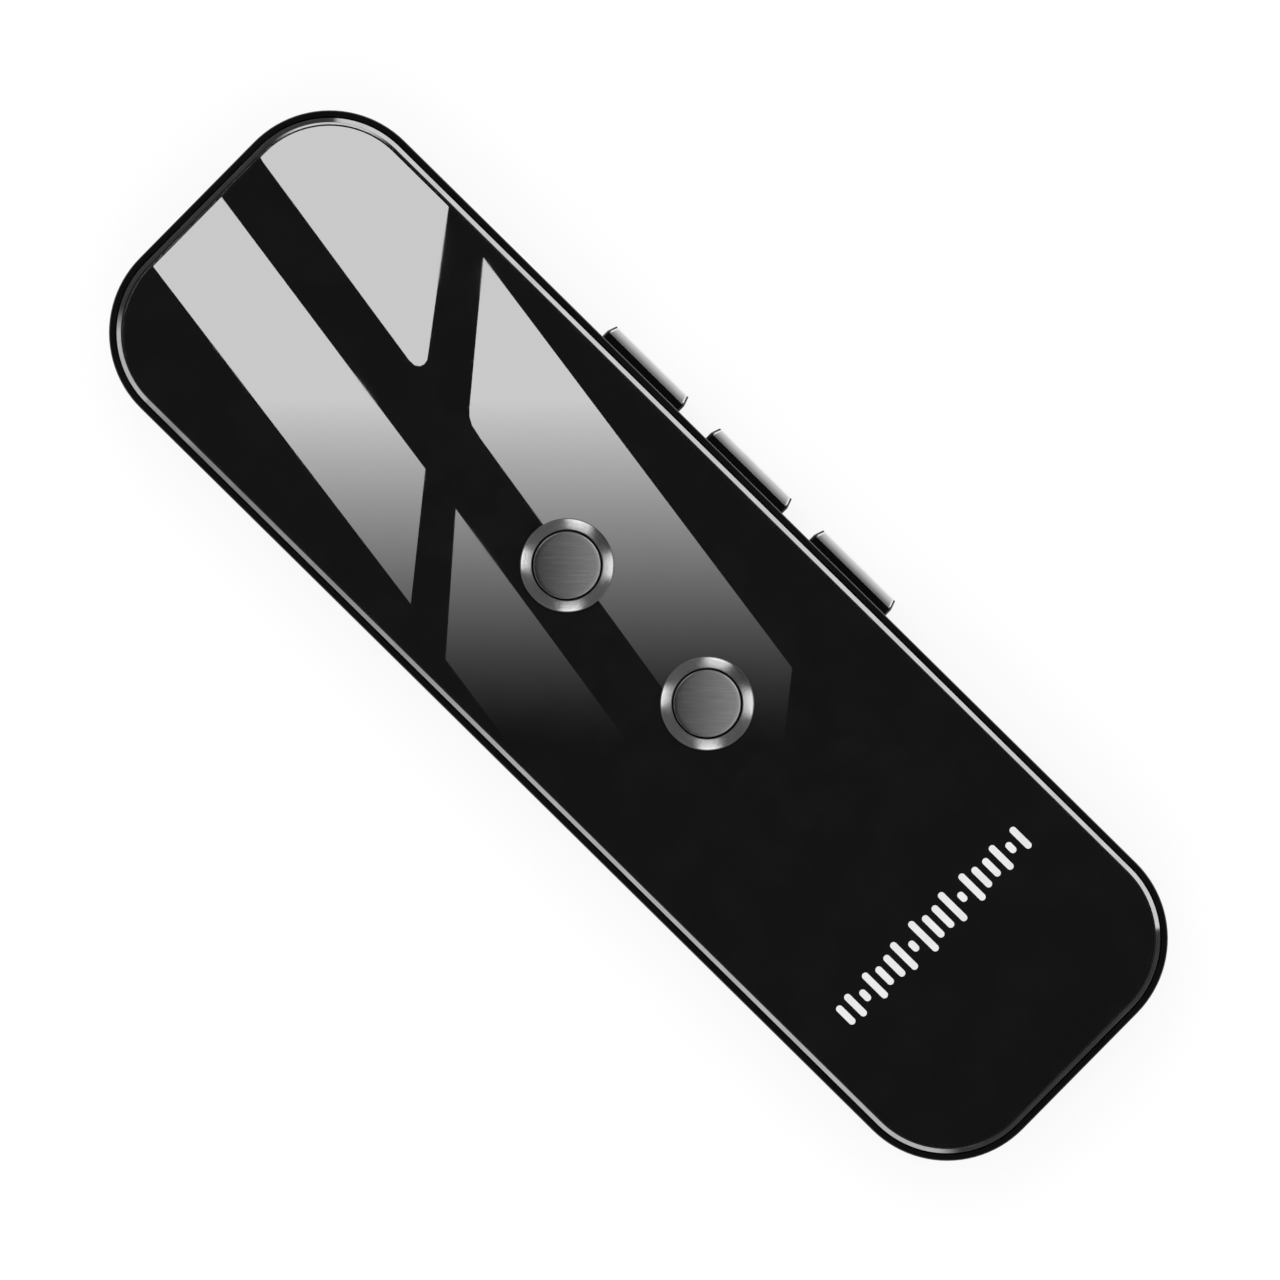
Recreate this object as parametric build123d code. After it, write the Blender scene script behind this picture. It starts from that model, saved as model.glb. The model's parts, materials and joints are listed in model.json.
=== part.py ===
from build123d import *
import math
import os

# A handheld voice translator, in millimetres. It lies on its back: +X points to the side keys,
# +Y to the top end, +Z out of the front panel. The origin is the centre of the flat back face.

# Case outline
body_length = 140.0
body_width = 42.4
corner_radius = 12.0
wall = 1.5
back_edge_radius = 2.2

# Layers, from the back face to the front face
rear_floor = 1.3
battery_tape_thickness = 0.2
battery_thickness = 4.0
battery_headroom = 1.1
board_thickness = 0.8
web_thickness = 1.0
adhesive_thickness = 0.2
panel_thickness = 0.8

# Joint between the rear cover and the front frame
seam_land = 0.6
seam_chamfer = 0.12
lip_height = 0.9
lip_thickness = 0.6
lip_clearance = 0.1

# Rim, trim ring and front panel, from the outside in
rim_width = 0.85
rim_drop = 0.3
rim_edge_radius = 0.55
trim_clearance = 0.04
trim_width = 0.7
trim_bevel_width = 0.55
trim_bevel_height = 0.34
panel_gap = 0.06
panel_edge_radius = 0.35
adhesive_inset = 0.5

# Round front buttons
button_pitch = 22.2
button_middle_y = 0.2
button_travel = 0.35
cap_radius = 3.85
cap_rise = 0.42
cap_bevel = 0.22
cap_dome = 0.12
cap_stem_length = 0.15
cap_flange_width = 0.8
cap_flange_thickness = 0.6
cap_flange_clearance = 0.05
cap_gap = 0.35
ring_width = 1.1
ring_crown = 0.6
ring_foot = 0.12
ring_sleeve_wall = 0.5
ring_clearance = 0.05

# Side keys
key_middle_y = 4.2
key_length = 12.2
key_height = 3.2
key_gap = 4.25
key_protrusion = 2.05
key_corner_radius = 0.5
key_bevel_depth = 0.75
key_bevel_rise = 0.6
key_end_bevel = 0.25
key_travel = 0.35
key_clearance = 0.14
key_flange_overlap = 0.7
key_flange_thickness = 0.6
key_flange_clearance = 0.1
key_nib_size = 1.4
key_nib_length = 0.3

# Push switches under the round buttons
switch_size = 4.5
switch_height = 1.2
switch_plunger_radius = 1.1
switch_plunger_root = 0.15
switch_end_room = 0.25
plunger_clearance = 0.06

# Edge switches behind the side keys
edge_switch_length = 4.7
edge_switch_depth = 3.5
edge_switch_height = 1.65
edge_switch_setback = 0.3
edge_plunger_length = 2.0
edge_plunger_height = 0.9
edge_plunger_root = 0.5

# Main board
board_clearance = 0.35
board_notch_clearance = 0.3
board_post_clearance = 0.3

# Screws that join the rear cover to the front frame
case_screw_inset_x = 6.6
case_screw_inset_y = 9.4
case_screw_radius = 0.8
case_screw_length = 6.0
case_screw_head_radius = 1.45
case_screw_head_height = 0.8
case_screw_recess = 0.2
case_post_radius = 2.3
case_boss_radius = 2.6
case_boss_height = 2.1

# Screws that hold the board to the front frame
board_screw_inset_x = 5.2
board_screw_top_inset_y = 34.0
board_screw_bottom_inset_y = 45.0
board_screw_radius = 0.7
board_screw_length = 2.6
board_screw_head_radius = 1.3
board_screw_head_height = 0.5
board_post_radius = 1.8

# All screws
thread_clearance = 0.02
screw_pass_clearance = 0.15
screw_head_clearance = 0.3
screw_tip_room = 0.3
cross_slot_length = 1.6
cross_slot_width = 0.32
cross_slot_depth = 0.35

# Chips on the board's upper face
processor_size = 8.0
processor_height = 0.9
memory_size = 6.0
memory_height = 0.8
amplifier_size = 4.0
charger_size = 3.0
small_chip_height = 0.75
crystal_length = 3.2
crystal_width = 2.5
crystal_height = 0.7
antenna_length = 7.0
antenna_width = 2.0
antenna_height = 0.8
component_length = 1.6
component_width = 0.8
component_height = 0.5
component_pitch = 1.9
components_in_row = 5

# Places of the chips and rows: across the body, and along it from what the name says
processor_from_upper_button = (-6.0, 15.2)
memory_from_upper_button = (5.0, 15.7)
crystal_from_upper_button = (-8.0, 8.2)
shield_from_upper_button = (-10.0, 3.7)
left_row_from_upper_button = (-14.5, 5.7)
right_row_from_upper_button = (11.0, 8.7)
row_from_lower_button = (9.5, -16.1)
row_from_bottom_end = (-12.0, 20.0)
charger_from_bottom_end = (6.0, 14.0)
antenna_from_top_end = (6.0, -5.5)
amplifier_from_speaker = (-9.0, -4.0)

# Shield can on the board's underside
shield_width = 13.0
shield_length = 16.0
shield_height = 1.8

# Battery pack
battery_width = 28.0
battery_length = 40.0
battery_edge_radius = 1.2
battery_clearance = 0.3
battery_rib_height = 1.8
battery_rib_thickness = 0.8
battery_rib_leg = 6.0
battery_rib_boss_gap = 0.3
protection_board_width = 24.0
protection_board_length = 3.6
protection_board_thickness = 0.8
protection_board_gap = 0.2
battery_lead_radius = 0.4
battery_lead_spacing = 2.4
battery_lead_level_run = 4.2
battery_lead_slope_run = 5.0
connector_width = 5.2
connector_length = 3.6
connector_height = 2.4

# Leads: the share of a run that an arc takes at each of its ends
lead_arc_share = 0.45

# Loudspeaker and its grille
speaker_inset_y = 26.0
speaker_radius = 10.0
speaker_height = 3.4
speaker_shell = 0.5
speaker_clearance = 0.25
speaker_rib_thickness = 0.8
speaker_rib_height = 1.6
magnet_radius = 5.4
magnet_height = 2.0
magnet_rise = 0.6
magnet_clearance = 0.05
cone_thickness = 0.2
cone_depth = 0.8
cone_lift = 0.5
cone_roll_width = 1.2
cone_clearance = 0.05
dust_cap_radius = 3.0
dust_cap_depth = 0.4
gasket_thickness = 0.5
gasket_width = 1.5
mesh_thickness = 0.12
mesh_clearance = 0.3
grille_hole_radius = 0.5
grille_pitch = 2.0
grille_rings = 3
terminal_width = 5.2
terminal_length = 1.2
terminal_height = 0.9
speaker_lead_radius = 0.35
speaker_lead_spacing = 2.6
speaker_lead_level_run = 3.6
speaker_lead_slope_run = 4.5

# Charging socket at the bottom end
socket_width = 7.5
socket_height = 2.5
socket_depth = 5.6
socket_shell = 0.3
socket_corner_cut = 0.7
socket_recess = 0.35
socket_clearance = 0.22
tongue_width = 4.2
tongue_thickness = 0.6
tongue_recess = 0.7
tongue_base_length = 1.4

# Microphone at the bottom end
microphone_gap = 1.4
microphone_radius = 1.9
microphone_length = 1.6
microphone_boot_length = 1.3
microphone_hole_radius = 0.5
boot_hole_radius = 0.7
boot_clearance = 0.05

# Status light under the panel
light_inset_y = 12.5
light_size = 1.6
light_height = 0.6
light_guide_radius = 0.8
light_guide_clearance = 0.08

# Edges and inner faces of the case
half_width = body_width / 2
half_length = body_length / 2
inner_x = half_width - wall
inner_y = half_length - wall
parting_z = back_edge_radius + seam_land
boss_top = rear_floor + case_boss_height

# Heights of the board and of the round buttons above it
battery_z = rear_floor + battery_tape_thickness
board_z = battery_z + battery_thickness + battery_headroom
board_top = board_z + board_thickness
switch_top = board_top + switch_height
plunger_top = switch_top + button_travel + switch_end_room
cap_flange_z = plunger_top + cap_stem_length
cap_flange_top = cap_flange_z + cap_flange_thickness
web_z = cap_flange_top + cap_flange_clearance
web_top = web_z + web_thickness
panel_z = web_top + adhesive_thickness
panel_top = panel_z + panel_thickness
rim_top = panel_top - rim_drop

# Insets of the trim ring and the panel from the case outline
trim_inset = rim_width + trim_clearance
trim_inner_inset = trim_inset + trim_width
panel_inset = trim_inner_inset + panel_gap

# Round buttons
button_y = {
    "upper": button_middle_y + button_pitch / 2,
    "lower": button_middle_y - button_pitch / 2,
}
ring_bore = cap_radius + cap_gap
ring_radius = ring_bore + ring_width
sleeve_radius = ring_bore + ring_sleeve_wall
button_hole_radius = sleeve_radius + ring_clearance
cap_flange_radius = button_hole_radius + cap_flange_width

# Side keys and the switches behind them
key_pitch = key_length + key_gap
key_y = {
    "volume_up": key_middle_y + key_pitch,
    "volume_down": key_middle_y,
    "power": key_middle_y - key_pitch,
}
key_z = board_z - edge_switch_height / 2
key_face_x = half_width + key_protrusion
key_flange_x = inner_x - key_flange_clearance
key_back_x = key_flange_x - key_flange_thickness
board_notch_x = key_back_x - key_travel - board_notch_clearance
edge_switch_x = board_notch_x - edge_switch_setback
edge_plunger_x = key_back_x - key_nib_length

# Screws
case_screw_x = half_width - case_screw_inset_x
case_screw_y = half_length - case_screw_inset_y
case_screw_seat = case_screw_recess + case_screw_head_height
case_screw_places = [(x, y) for x in (-case_screw_x, case_screw_x) for y in (-case_screw_y, case_screw_y)]
board_screw_x = half_width - board_screw_inset_x
board_screw_rows = (board_screw_bottom_inset_y - half_length, half_length - board_screw_top_inset_y)
board_screw_places = [(x, y) for x in (-board_screw_x, board_screw_x) for y in board_screw_rows]

# Battery pack, from the bottom bosses upwards
battery_rib_y = case_boss_radius + battery_rib_boss_gap - case_screw_y
battery_low_y = battery_rib_y + battery_rib_thickness + battery_clearance
battery_high_y = battery_low_y + battery_length
protection_low_y = battery_high_y + protection_board_gap
protection_high_y = protection_low_y + protection_board_length
battery_slope_y = protection_high_y + battery_lead_level_run
battery_level_y = battery_slope_y + battery_lead_slope_run
connector_low_y = battery_level_y + battery_lead_level_run

# Loudspeaker
speaker_y = half_length - speaker_inset_y
gasket_top = rear_floor + gasket_thickness
speaker_top = gasket_top + speaker_height
cone_z = gasket_top + cone_lift
terminal_low_y = speaker_y - speaker_radius - terminal_length

# Socket, microphone and light
socket_z = board_z - socket_height / 2
socket_mouth_y = socket_recess - half_length
socket_back_y = socket_mouth_y + socket_depth
microphone_x = socket_width / 2 + microphone_gap + microphone_radius
microphone_z = board_z - microphone_radius
light_y = half_length - light_inset_y



def along_from(y, offset):
    return (offset[0], y + offset[1])


# Chips and rows of small components
processor_place = along_from(button_y["upper"], processor_from_upper_button)
memory_place = along_from(button_y["upper"], memory_from_upper_button)
crystal_place = along_from(button_y["upper"], crystal_from_upper_button)
shield_place = along_from(button_y["upper"], shield_from_upper_button)
amplifier_place = along_from(speaker_y, amplifier_from_speaker)
charger_place = along_from(-half_length, charger_from_bottom_end)
antenna_place = along_from(half_length, antenna_from_top_end)
component_rows = [
    along_from(button_y["upper"], left_row_from_upper_button),
    along_from(button_y["upper"], right_row_from_upper_button),
    along_from(button_y["lower"], row_from_lower_button),
    along_from(-half_length, row_from_bottom_end),
]


def slab(inset, z_low, z_high):
    # A plate of the case's outline, moved in by inset.
    width = body_width - 2 * inset
    length = body_length - 2 * inset
    outline = RectangleRounded(width, length, corner_radius - inset)
    return extrude(Pos(0, 0, z_low) * outline, amount=z_high - z_low)


def block(x_low, x_high, y_low, y_high, z_low, z_high):
    size = Box(x_high - x_low, y_high - y_low, z_high - z_low, align=(Align.MIN,) * 3)
    return Pos(x_low, y_low, z_low) * size


def rod(x, y, z_low, z_high, radius):
    upright = (Align.CENTER, Align.CENTER, Align.MIN)
    return Pos(x, y, z_low) * Cylinder(radius, z_high - z_low, align=upright)


def turned(y, edges):
    # A solid of revolution about the vertical axis at (0, y), from edges in the XZ plane.
    return Pos(0, y, 0) * revolve(make_face(Curve() + edges), axis=Axis.Z)


def lines(*points):
    # Straight edges through (radius, height) points.
    corners = [(r, 0, z) for r, z in points]
    return [Line(a, b) for a, b in zip(corners, corners[1:])]


def wire_lead(points, radius):
    # A lead along straight runs joined by arcs as large as the runs allow.
    corners = [Vector(p) for p in points]
    radii = []
    for a, b, c in zip(corners, corners[1:], corners[2:]):
        half_turn = math.radians((b - a).get_angle(c - b)) / 2
        radii.append(lead_arc_share * min((b - a).length, (c - b).length) / math.tan(half_turn))
    path = FilletPolyline(*points, radius=radii)
    start = Plane(path @ 0, z_dir=path % 0)
    return sweep(start * Circle(radius), path=path)


# Case


def make_rear_cover():
    shell = slab(0, 0, parting_z)
    shell = fillet(shell.faces().sort_by(Axis.Z)[0].edges(), back_edge_radius)
    shell = chamfer(shell.faces().sort_by(Axis.Z)[-1].edges(), seam_chamfer)
    shell -= slab(wall, rear_floor, parting_z)
    shell += case_lip() + battery_ribs() + speaker_rib()
    for x, y in case_screw_places:
        shell += rod(x, y, rear_floor, boss_top, case_boss_radius)
        shell -= rod(x, y, 0, case_screw_seat, case_screw_head_radius + screw_head_clearance)
        shell -= rod(x, y, 0, boss_top, case_screw_radius + screw_pass_clearance)
    for x, y in grille_places():
        shell -= rod(x, y, 0, rear_floor, grille_hole_radius)
    return shell


def case_lip():
    # The tongue that stands up inside the frame's wall, clear of the keys and the socket.
    low = parting_z - lip_thickness
    high = parting_z + lip_height
    lip = slab(wall - lip_thickness, low, high) - slab(wall, low, high)
    for y in key_y.values():
        lip -= key_bar(y, key_back_x, key_face_x, key_clearance)
    return lip - socket_bar(-half_length, socket_back_y, socket_clearance)


def battery_ribs():
    # Four corner angles that locate the battery pack on the floor.
    near_x = battery_width / 2 + battery_clearance
    far_x = near_x + battery_rib_thickness
    near_low = battery_low_y - battery_clearance
    near_high = protection_high_y + battery_clearance
    far_high = near_high + battery_rib_thickness
    top = rear_floor + battery_rib_height
    leg = battery_rib_leg
    ribs = block(-far_x, far_x, battery_rib_y, far_high, rear_floor, top)
    ribs -= block(-near_x, near_x, near_low, near_high, rear_floor, top)
    ribs -= block(leg - near_x, near_x - leg, battery_rib_y, far_high, rear_floor, top)
    return ribs - block(-far_x, far_x, near_low + leg, near_high - leg, rear_floor, top)


def speaker_rib():
    inner = speaker_radius + speaker_clearance
    outer = inner + speaker_rib_thickness
    top = rear_floor + speaker_rib_height
    return rod(0, speaker_y, rear_floor, top, outer) - rod(0, speaker_y, rear_floor, top, inner)


def grille_places():
    # Hexagonal rings of round sound holes.
    places = []
    for i in range(-grille_rings, grille_rings + 1):
        for j in range(-grille_rings, grille_rings + 1):
            if abs(i + j) <= grille_rings:
                x = grille_pitch * (i + j / 2)
                places.append((x, speaker_y + grille_pitch * j * math.sqrt(3) / 2))
    return places


def make_front_frame():
    frame = slab(0, parting_z, rim_top)
    frame = fillet(frame.faces().sort_by(Axis.Z)[-1].edges(), rim_edge_radius)
    frame = chamfer(frame.faces().sort_by(Axis.Z)[0].edges(), seam_chamfer)
    frame -= slab(wall, parting_z, web_z)
    lip_inset = wall - lip_thickness - lip_clearance
    frame -= slab(lip_inset, parting_z, parting_z + lip_height + lip_clearance)
    frame -= slab(rim_width, web_top, rim_top)
    for x, y in case_screw_places:
        hole_top = case_screw_seat + case_screw_length + screw_tip_room
        frame += rod(x, y, boss_top, web_z, case_post_radius)
        frame -= rod(x, y, boss_top, hole_top, case_screw_radius + thread_clearance)
    for x, y in board_screw_places:
        hole_top = board_z + board_screw_length + screw_tip_room
        frame += rod(x, y, board_top, web_z, board_post_radius)
        frame -= rod(x, y, board_top, hole_top, board_screw_radius + thread_clearance)
    return cut_frame_openings(frame)


def cut_frame_openings(frame):
    for y in button_y.values():
        frame -= rod(0, y, web_z, web_top, button_hole_radius)
    frame -= rod(0, light_y, web_z, web_top, light_guide_radius + light_guide_clearance)
    for y in key_y.values():
        frame -= key_bar(y, key_back_x, key_face_x, key_clearance)
    frame -= socket_bar(-half_length, socket_back_y, socket_clearance)
    return frame - end_rod(-half_length, -inner_y, microphone_hole_radius)


def make_trim_ring():
    shoulder = panel_top - trim_bevel_height
    foot = slab(trim_inset, web_top, shoulder)
    crest = slab(trim_inset + trim_bevel_width, shoulder, panel_top)
    bevel = loft([foot.faces().sort_by(Axis.Z)[-1], crest.faces().sort_by(Axis.Z)[-1]], ruled=True)
    return foot + bevel - slab(trim_inner_inset, web_top, panel_top)


def make_front_panel():
    panel = slab(panel_inset, panel_z, panel_top)
    panel = fillet(panel.faces().sort_by(Axis.Z)[-1].edges(), panel_edge_radius)
    for y in button_y.values():
        panel -= rod(0, y, panel_z, panel_top, button_hole_radius)
    return panel


def make_panel_adhesive():
    sheet = slab(panel_inset + adhesive_inset, web_top, panel_z)
    for y in button_y.values():
        sheet -= rod(0, y, web_top, panel_z, button_hole_radius + adhesive_inset)
    return sheet - rod(0, light_y, web_top, panel_z, light_guide_radius + adhesive_inset)


# Round front buttons


def make_button_ring(y):
    # A rounded crown on the panel, with a sleeve through the panel and the frame's web.
    shoulder = panel_top + ring_foot
    crown_radius = (ring_bore + ring_radius) / 2
    edges = lines(
        (ring_bore, shoulder),
        (ring_bore, web_z),
        (sleeve_radius, web_z),
        (sleeve_radius, panel_top),
        (ring_radius, panel_top),
        (ring_radius, shoulder),
    )
    top = (crown_radius, 0, panel_top + ring_crown)
    edges.append(ThreePointArc((ring_radius, 0, shoulder), top, (ring_bore, 0, shoulder)))
    return turned(y, edges)


def make_button_cap(y):
    # A slightly domed cap whose flange is caught under the ring and the web.
    flat_radius = cap_radius - cap_bevel
    dome_top = panel_top + cap_rise
    flat_z = dome_top - cap_dome
    edges = lines(
        (0, dome_top),
        (0, plunger_top),
        (switch_plunger_radius, plunger_top),
        (switch_plunger_radius, cap_flange_z),
        (cap_flange_radius, cap_flange_z),
        (cap_flange_radius, cap_flange_top),
        (cap_radius, cap_flange_top),
        (cap_radius, flat_z - cap_bevel),
        (flat_radius, flat_z),
    )
    dome_radius = (flat_radius**2 + cap_dome**2) / (2 * cap_dome)
    middle_z = dome_top - dome_radius + math.sqrt(dome_radius**2 - (flat_radius / 2) ** 2)
    edges.append(ThreePointArc((flat_radius, 0, flat_z), (flat_radius / 2, 0, middle_z), (0, 0, dome_top)))
    return turned(y, edges)


def make_button_switch(y):
    half = switch_size / 2
    well = switch_plunger_root + button_travel + plunger_clearance
    body = block(-half, half, y - half, y + half, board_top, switch_top)
    return body - rod(0, y, switch_top - well, switch_top, switch_plunger_radius + plunger_clearance)


def make_button_plunger(y):
    return rod(0, y, switch_top - switch_plunger_root, plunger_top, switch_plunger_radius)


# Side keys


def key_section(x, y, length, height, radius):
    across = Plane((x, y, key_z), x_dir=(0, 1, 0), z_dir=(1, 0, 0))
    return across * RectangleRounded(length, height, radius)


def key_bar(y, x_low, x_high, spread):
    # A bar of a key's section along X, grown by spread all round.
    length = key_length + 2 * spread
    height = key_height + 2 * spread
    return extrude(key_section(x_low, y, length, height, key_corner_radius + spread), x_high - x_low)


def make_side_key(y):
    bevel_x = key_face_x - key_bevel_depth
    face_length = key_length - 2 * key_end_bevel
    face_height = key_height - 2 * key_bevel_rise
    bevel_foot = key_section(bevel_x, y, key_length, key_height, key_corner_radius)
    face = key_section(key_face_x, y, face_length, face_height, key_corner_radius)
    key = key_bar(y, key_flange_x, bevel_x, 0) + loft([bevel_foot, face], ruled=True)
    key += key_bar(y, key_back_x, key_flange_x, key_flange_overlap)
    nib = key_nib_size / 2
    return key + block(edge_plunger_x, key_back_x, y - nib, y + nib, key_z - nib, key_z + nib)


def plunger_block(y, x_low, x_high, spread):
    half = edge_plunger_length / 2 + spread
    rise = edge_plunger_height / 2 + spread
    return block(x_low, x_high, y - half, y + half, key_z - rise, key_z + rise)


def make_edge_switch(y):
    half = edge_switch_length / 2
    back = edge_switch_x - edge_switch_depth
    well = edge_plunger_root + key_travel + plunger_clearance
    body = block(back, edge_switch_x, y - half, y + half, board_z - edge_switch_height, board_z)
    return body - plunger_block(y, edge_switch_x - well, edge_switch_x, plunger_clearance)


def make_edge_plunger(y):
    return plunger_block(y, edge_switch_x - edge_plunger_root, edge_plunger_x, 0)


# Main board and what is soldered to it


def make_main_board():
    board = slab(wall + board_clearance, board_z, board_top)
    reach = key_pitch + key_length / 2 + key_flange_overlap + board_notch_clearance
    low_y = key_middle_y - reach
    high_y = key_middle_y + reach
    board -= block(board_notch_x, half_width, low_y, high_y, board_z, board_top)
    for x, y in case_screw_places:
        board -= rod(x, y, board_z, board_top, case_post_radius + board_post_clearance)
    for x, y in board_screw_places:
        board -= rod(x, y, board_z, board_top, board_screw_radius + screw_pass_clearance)
    return board


def on_board(place, width, length, height):
    # A component that stands on the board's upper face.
    x, y = place
    low_x, low_y = x - width / 2, y - length / 2
    return block(low_x, low_x + width, low_y, low_y + length, board_top, board_top + height)


def under_board(place, width, length, height):
    # A component that hangs from the board's underside.
    x, y = place
    low_x, low_y = x - width / 2, y - length / 2
    return block(low_x, low_x + width, low_y, low_y + length, board_z - height, board_z)


def make_small_components():
    # Rows of chip resistors and capacitors.
    chips = []
    for x, y in component_rows:
        for i in range(components_in_row):
            place = (x, y + i * component_pitch)
            chips.append(on_board(place, component_length, component_width, component_height))
    return Compound(children=chips)


# Charging socket and microphone


def socket_bar(y_low, y_high, spread):
    # A bar of the socket's section along Y, its two lower corners cut.
    x = socket_width / 2 + spread
    z = socket_height / 2 + spread
    cut = socket_corner_cut
    points = [(-x, z), (x, z), (x, cut - z), (x - cut, -z), (cut - x, -z), (-x, cut - z)]
    across = Plane((0, y_high, socket_z), x_dir=(1, 0, 0), z_dir=(0, -1, 0))
    return extrude(across * make_face(Polyline(*points, close=True)), y_high - y_low)


def make_socket_shell():
    shell = socket_bar(socket_mouth_y, socket_back_y, 0)
    return shell - socket_bar(socket_mouth_y, socket_back_y - socket_shell, -socket_shell)


def make_socket_tongue():
    # The contact tongue and the moulded base that fills the back of the shell.
    high_y = socket_back_y - socket_shell
    base_y = high_y - tongue_base_length
    front_y = socket_mouth_y + tongue_recess
    base_x = socket_width / 2 - socket_corner_cut
    base_z = socket_height / 2 - socket_shell
    half_x = tongue_width / 2
    half_z = tongue_thickness / 2
    base = block(-base_x, base_x, base_y, high_y, socket_z, socket_z + base_z)
    return base + block(-half_x, half_x, front_y, high_y, socket_z - half_z, socket_z + half_z)


def end_rod(y_low, y_high, radius):
    # A round bar along Y on the microphone's axis.
    across = Plane((microphone_x, y_low, microphone_z), x_dir=(-1, 0, 0), z_dir=(0, 1, 0))
    return extrude(across * Circle(radius), y_high - y_low)


def make_microphone_boot():
    # A soft sleeve that seals the microphone to the end wall and follows its curve.
    low_y = boot_clearance - inner_y
    high_y = low_y + microphone_boot_length
    boot = end_rod(low_y, high_y, microphone_radius) - end_rod(low_y, high_y, boot_hole_radius)
    return boot & slab(wall + boot_clearance, 0, board_z)


def make_microphone():
    low_y = boot_clearance - inner_y + microphone_boot_length
    return end_rod(low_y, low_y + microphone_length, microphone_radius)


# Battery pack


def make_battery_tape():
    half = battery_width / 2 - battery_edge_radius
    low = battery_low_y + battery_edge_radius
    return block(-half, half, low, protection_high_y, rear_floor, battery_z)


def make_battery_cell():
    half = battery_width / 2
    top = battery_z + battery_thickness
    cell = block(-half, half, battery_low_y, battery_high_y, battery_z, top)
    return fillet(cell.edges().filter_by(Axis.Y), battery_edge_radius)


def make_protection_board():
    half = protection_board_width / 2
    top = battery_z + protection_board_thickness
    return block(-half, half, protection_low_y, protection_high_y, battery_z, top)


def make_battery_lead(side):
    # From the protection board's edge, up a slope and level into the connector.
    x = side * battery_lead_spacing / 2
    low = battery_z + battery_lead_radius
    high = board_z - connector_height / 2
    points = [
        (x, protection_high_y, low),
        (x, battery_slope_y, low),
        (x, battery_level_y, high),
        (x, connector_low_y, high),
    ]
    return wire_lead(points, battery_lead_radius)


def make_battery_connector():
    place = (0, connector_low_y + connector_length / 2)
    return under_board(place, connector_width, connector_length, connector_height)


# Loudspeaker


def make_speaker_gasket():
    ring = rod(0, speaker_y, rear_floor, gasket_top, speaker_radius)
    return ring - rod(0, speaker_y, rear_floor, gasket_top, speaker_radius - gasket_width)


def make_speaker_mesh():
    radius = speaker_radius - gasket_width - mesh_clearance
    return rod(0, speaker_y, rear_floor, rear_floor + mesh_thickness, radius)


def make_speaker_frame():
    # A basket with a ledge for the cone, a hole for the magnet and a terminal strip.
    inner = speaker_radius - speaker_shell
    ledge = inner - speaker_shell
    hole = magnet_radius + magnet_clearance
    plate_z = speaker_top - speaker_shell
    edges = lines(
        (ledge, gasket_top),
        (speaker_radius, gasket_top),
        (speaker_radius, speaker_top),
        (hole, speaker_top),
        (hole, plate_z),
        (inner, plate_z),
        (inner, cone_z),
        (ledge, cone_z),
        (ledge, gasket_top),
    )
    half = terminal_width / 2
    root_y = speaker_y - inner
    strip = block(-half, half, terminal_low_y, root_y, speaker_top - terminal_height, speaker_top)
    return turned(speaker_y, edges) + (strip - rod(0, speaker_y, gasket_top, speaker_top, inner))


def make_speaker_cone():
    # A thin cone with a flat outer roll that sits on the basket's ledge and a sunk dust cap.
    edge = speaker_radius - speaker_shell - cone_clearance
    roll = edge - cone_roll_width
    throat_z = cone_z + cone_depth
    cap_z = throat_z - dust_cap_depth
    lower = [(0, cap_z), (dust_cap_radius, throat_z), (roll, cone_z), (edge, cone_z)]
    upper = [(r, z + cone_thickness) for r, z in reversed(lower)]
    return turned(speaker_y, lines(*lower, *upper, lower[0]))


def make_speaker_magnet():
    top = speaker_top + magnet_rise
    return rod(0, speaker_y, top - magnet_height, top, magnet_radius)


def make_speaker_lead(side):
    # From the terminal strip, up a slope and level along the board's underside.
    x = side * speaker_lead_spacing / 2
    low = speaker_top - terminal_height / 2
    high = board_z - speaker_lead_radius
    slope_y = terminal_low_y - speaker_lead_level_run
    level_y = slope_y - speaker_lead_slope_run
    end_y = level_y - speaker_lead_level_run
    points = [(x, terminal_low_y, low), (x, slope_y, low), (x, level_y, high), (x, end_y, high)]
    return wire_lead(points, speaker_lead_radius)


# Status light


def make_light_guide():
    return rod(0, light_y, board_top + light_height, web_top, light_guide_radius)


# Screws


def screw(x, y, seat_z, length, radius, head_radius, head_height):
    # A cross-head screw that points up, with its head below seat_z.
    low = seat_z - head_height
    arm = cross_slot_length / 2
    half = cross_slot_width / 2
    slot_top = low + cross_slot_depth
    body = rod(x, y, low, seat_z, head_radius) + rod(x, y, seat_z, seat_z + length, radius)
    body -= block(x - arm, x + arm, y - half, y + half, low, slot_top)
    return body - block(x - half, x + half, y - arm, y + arm, low, slot_top)


def make_case_screws():
    shank = (case_screw_length, case_screw_radius)
    head = (case_screw_head_radius, case_screw_head_height)
    return Compound(children=[screw(x, y, case_screw_seat, *shank, *head) for x, y in case_screw_places])


def make_board_screws():
    shank = (board_screw_length, board_screw_radius)
    head = (board_screw_head_radius, board_screw_head_height)
    return Compound(children=[screw(x, y, board_z, *shank, *head) for x, y in board_screw_places])


# Every piece, by name


def make_case_nodes():
    return {
        "rear_cover": make_rear_cover(),
        "front_frame": make_front_frame(),
        "trim_ring": make_trim_ring(),
        "front_panel": make_front_panel(),
        "panel_adhesive": make_panel_adhesive(),
        "case_screws": make_case_screws(),
        "board_screws": make_board_screws(),
    }


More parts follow.
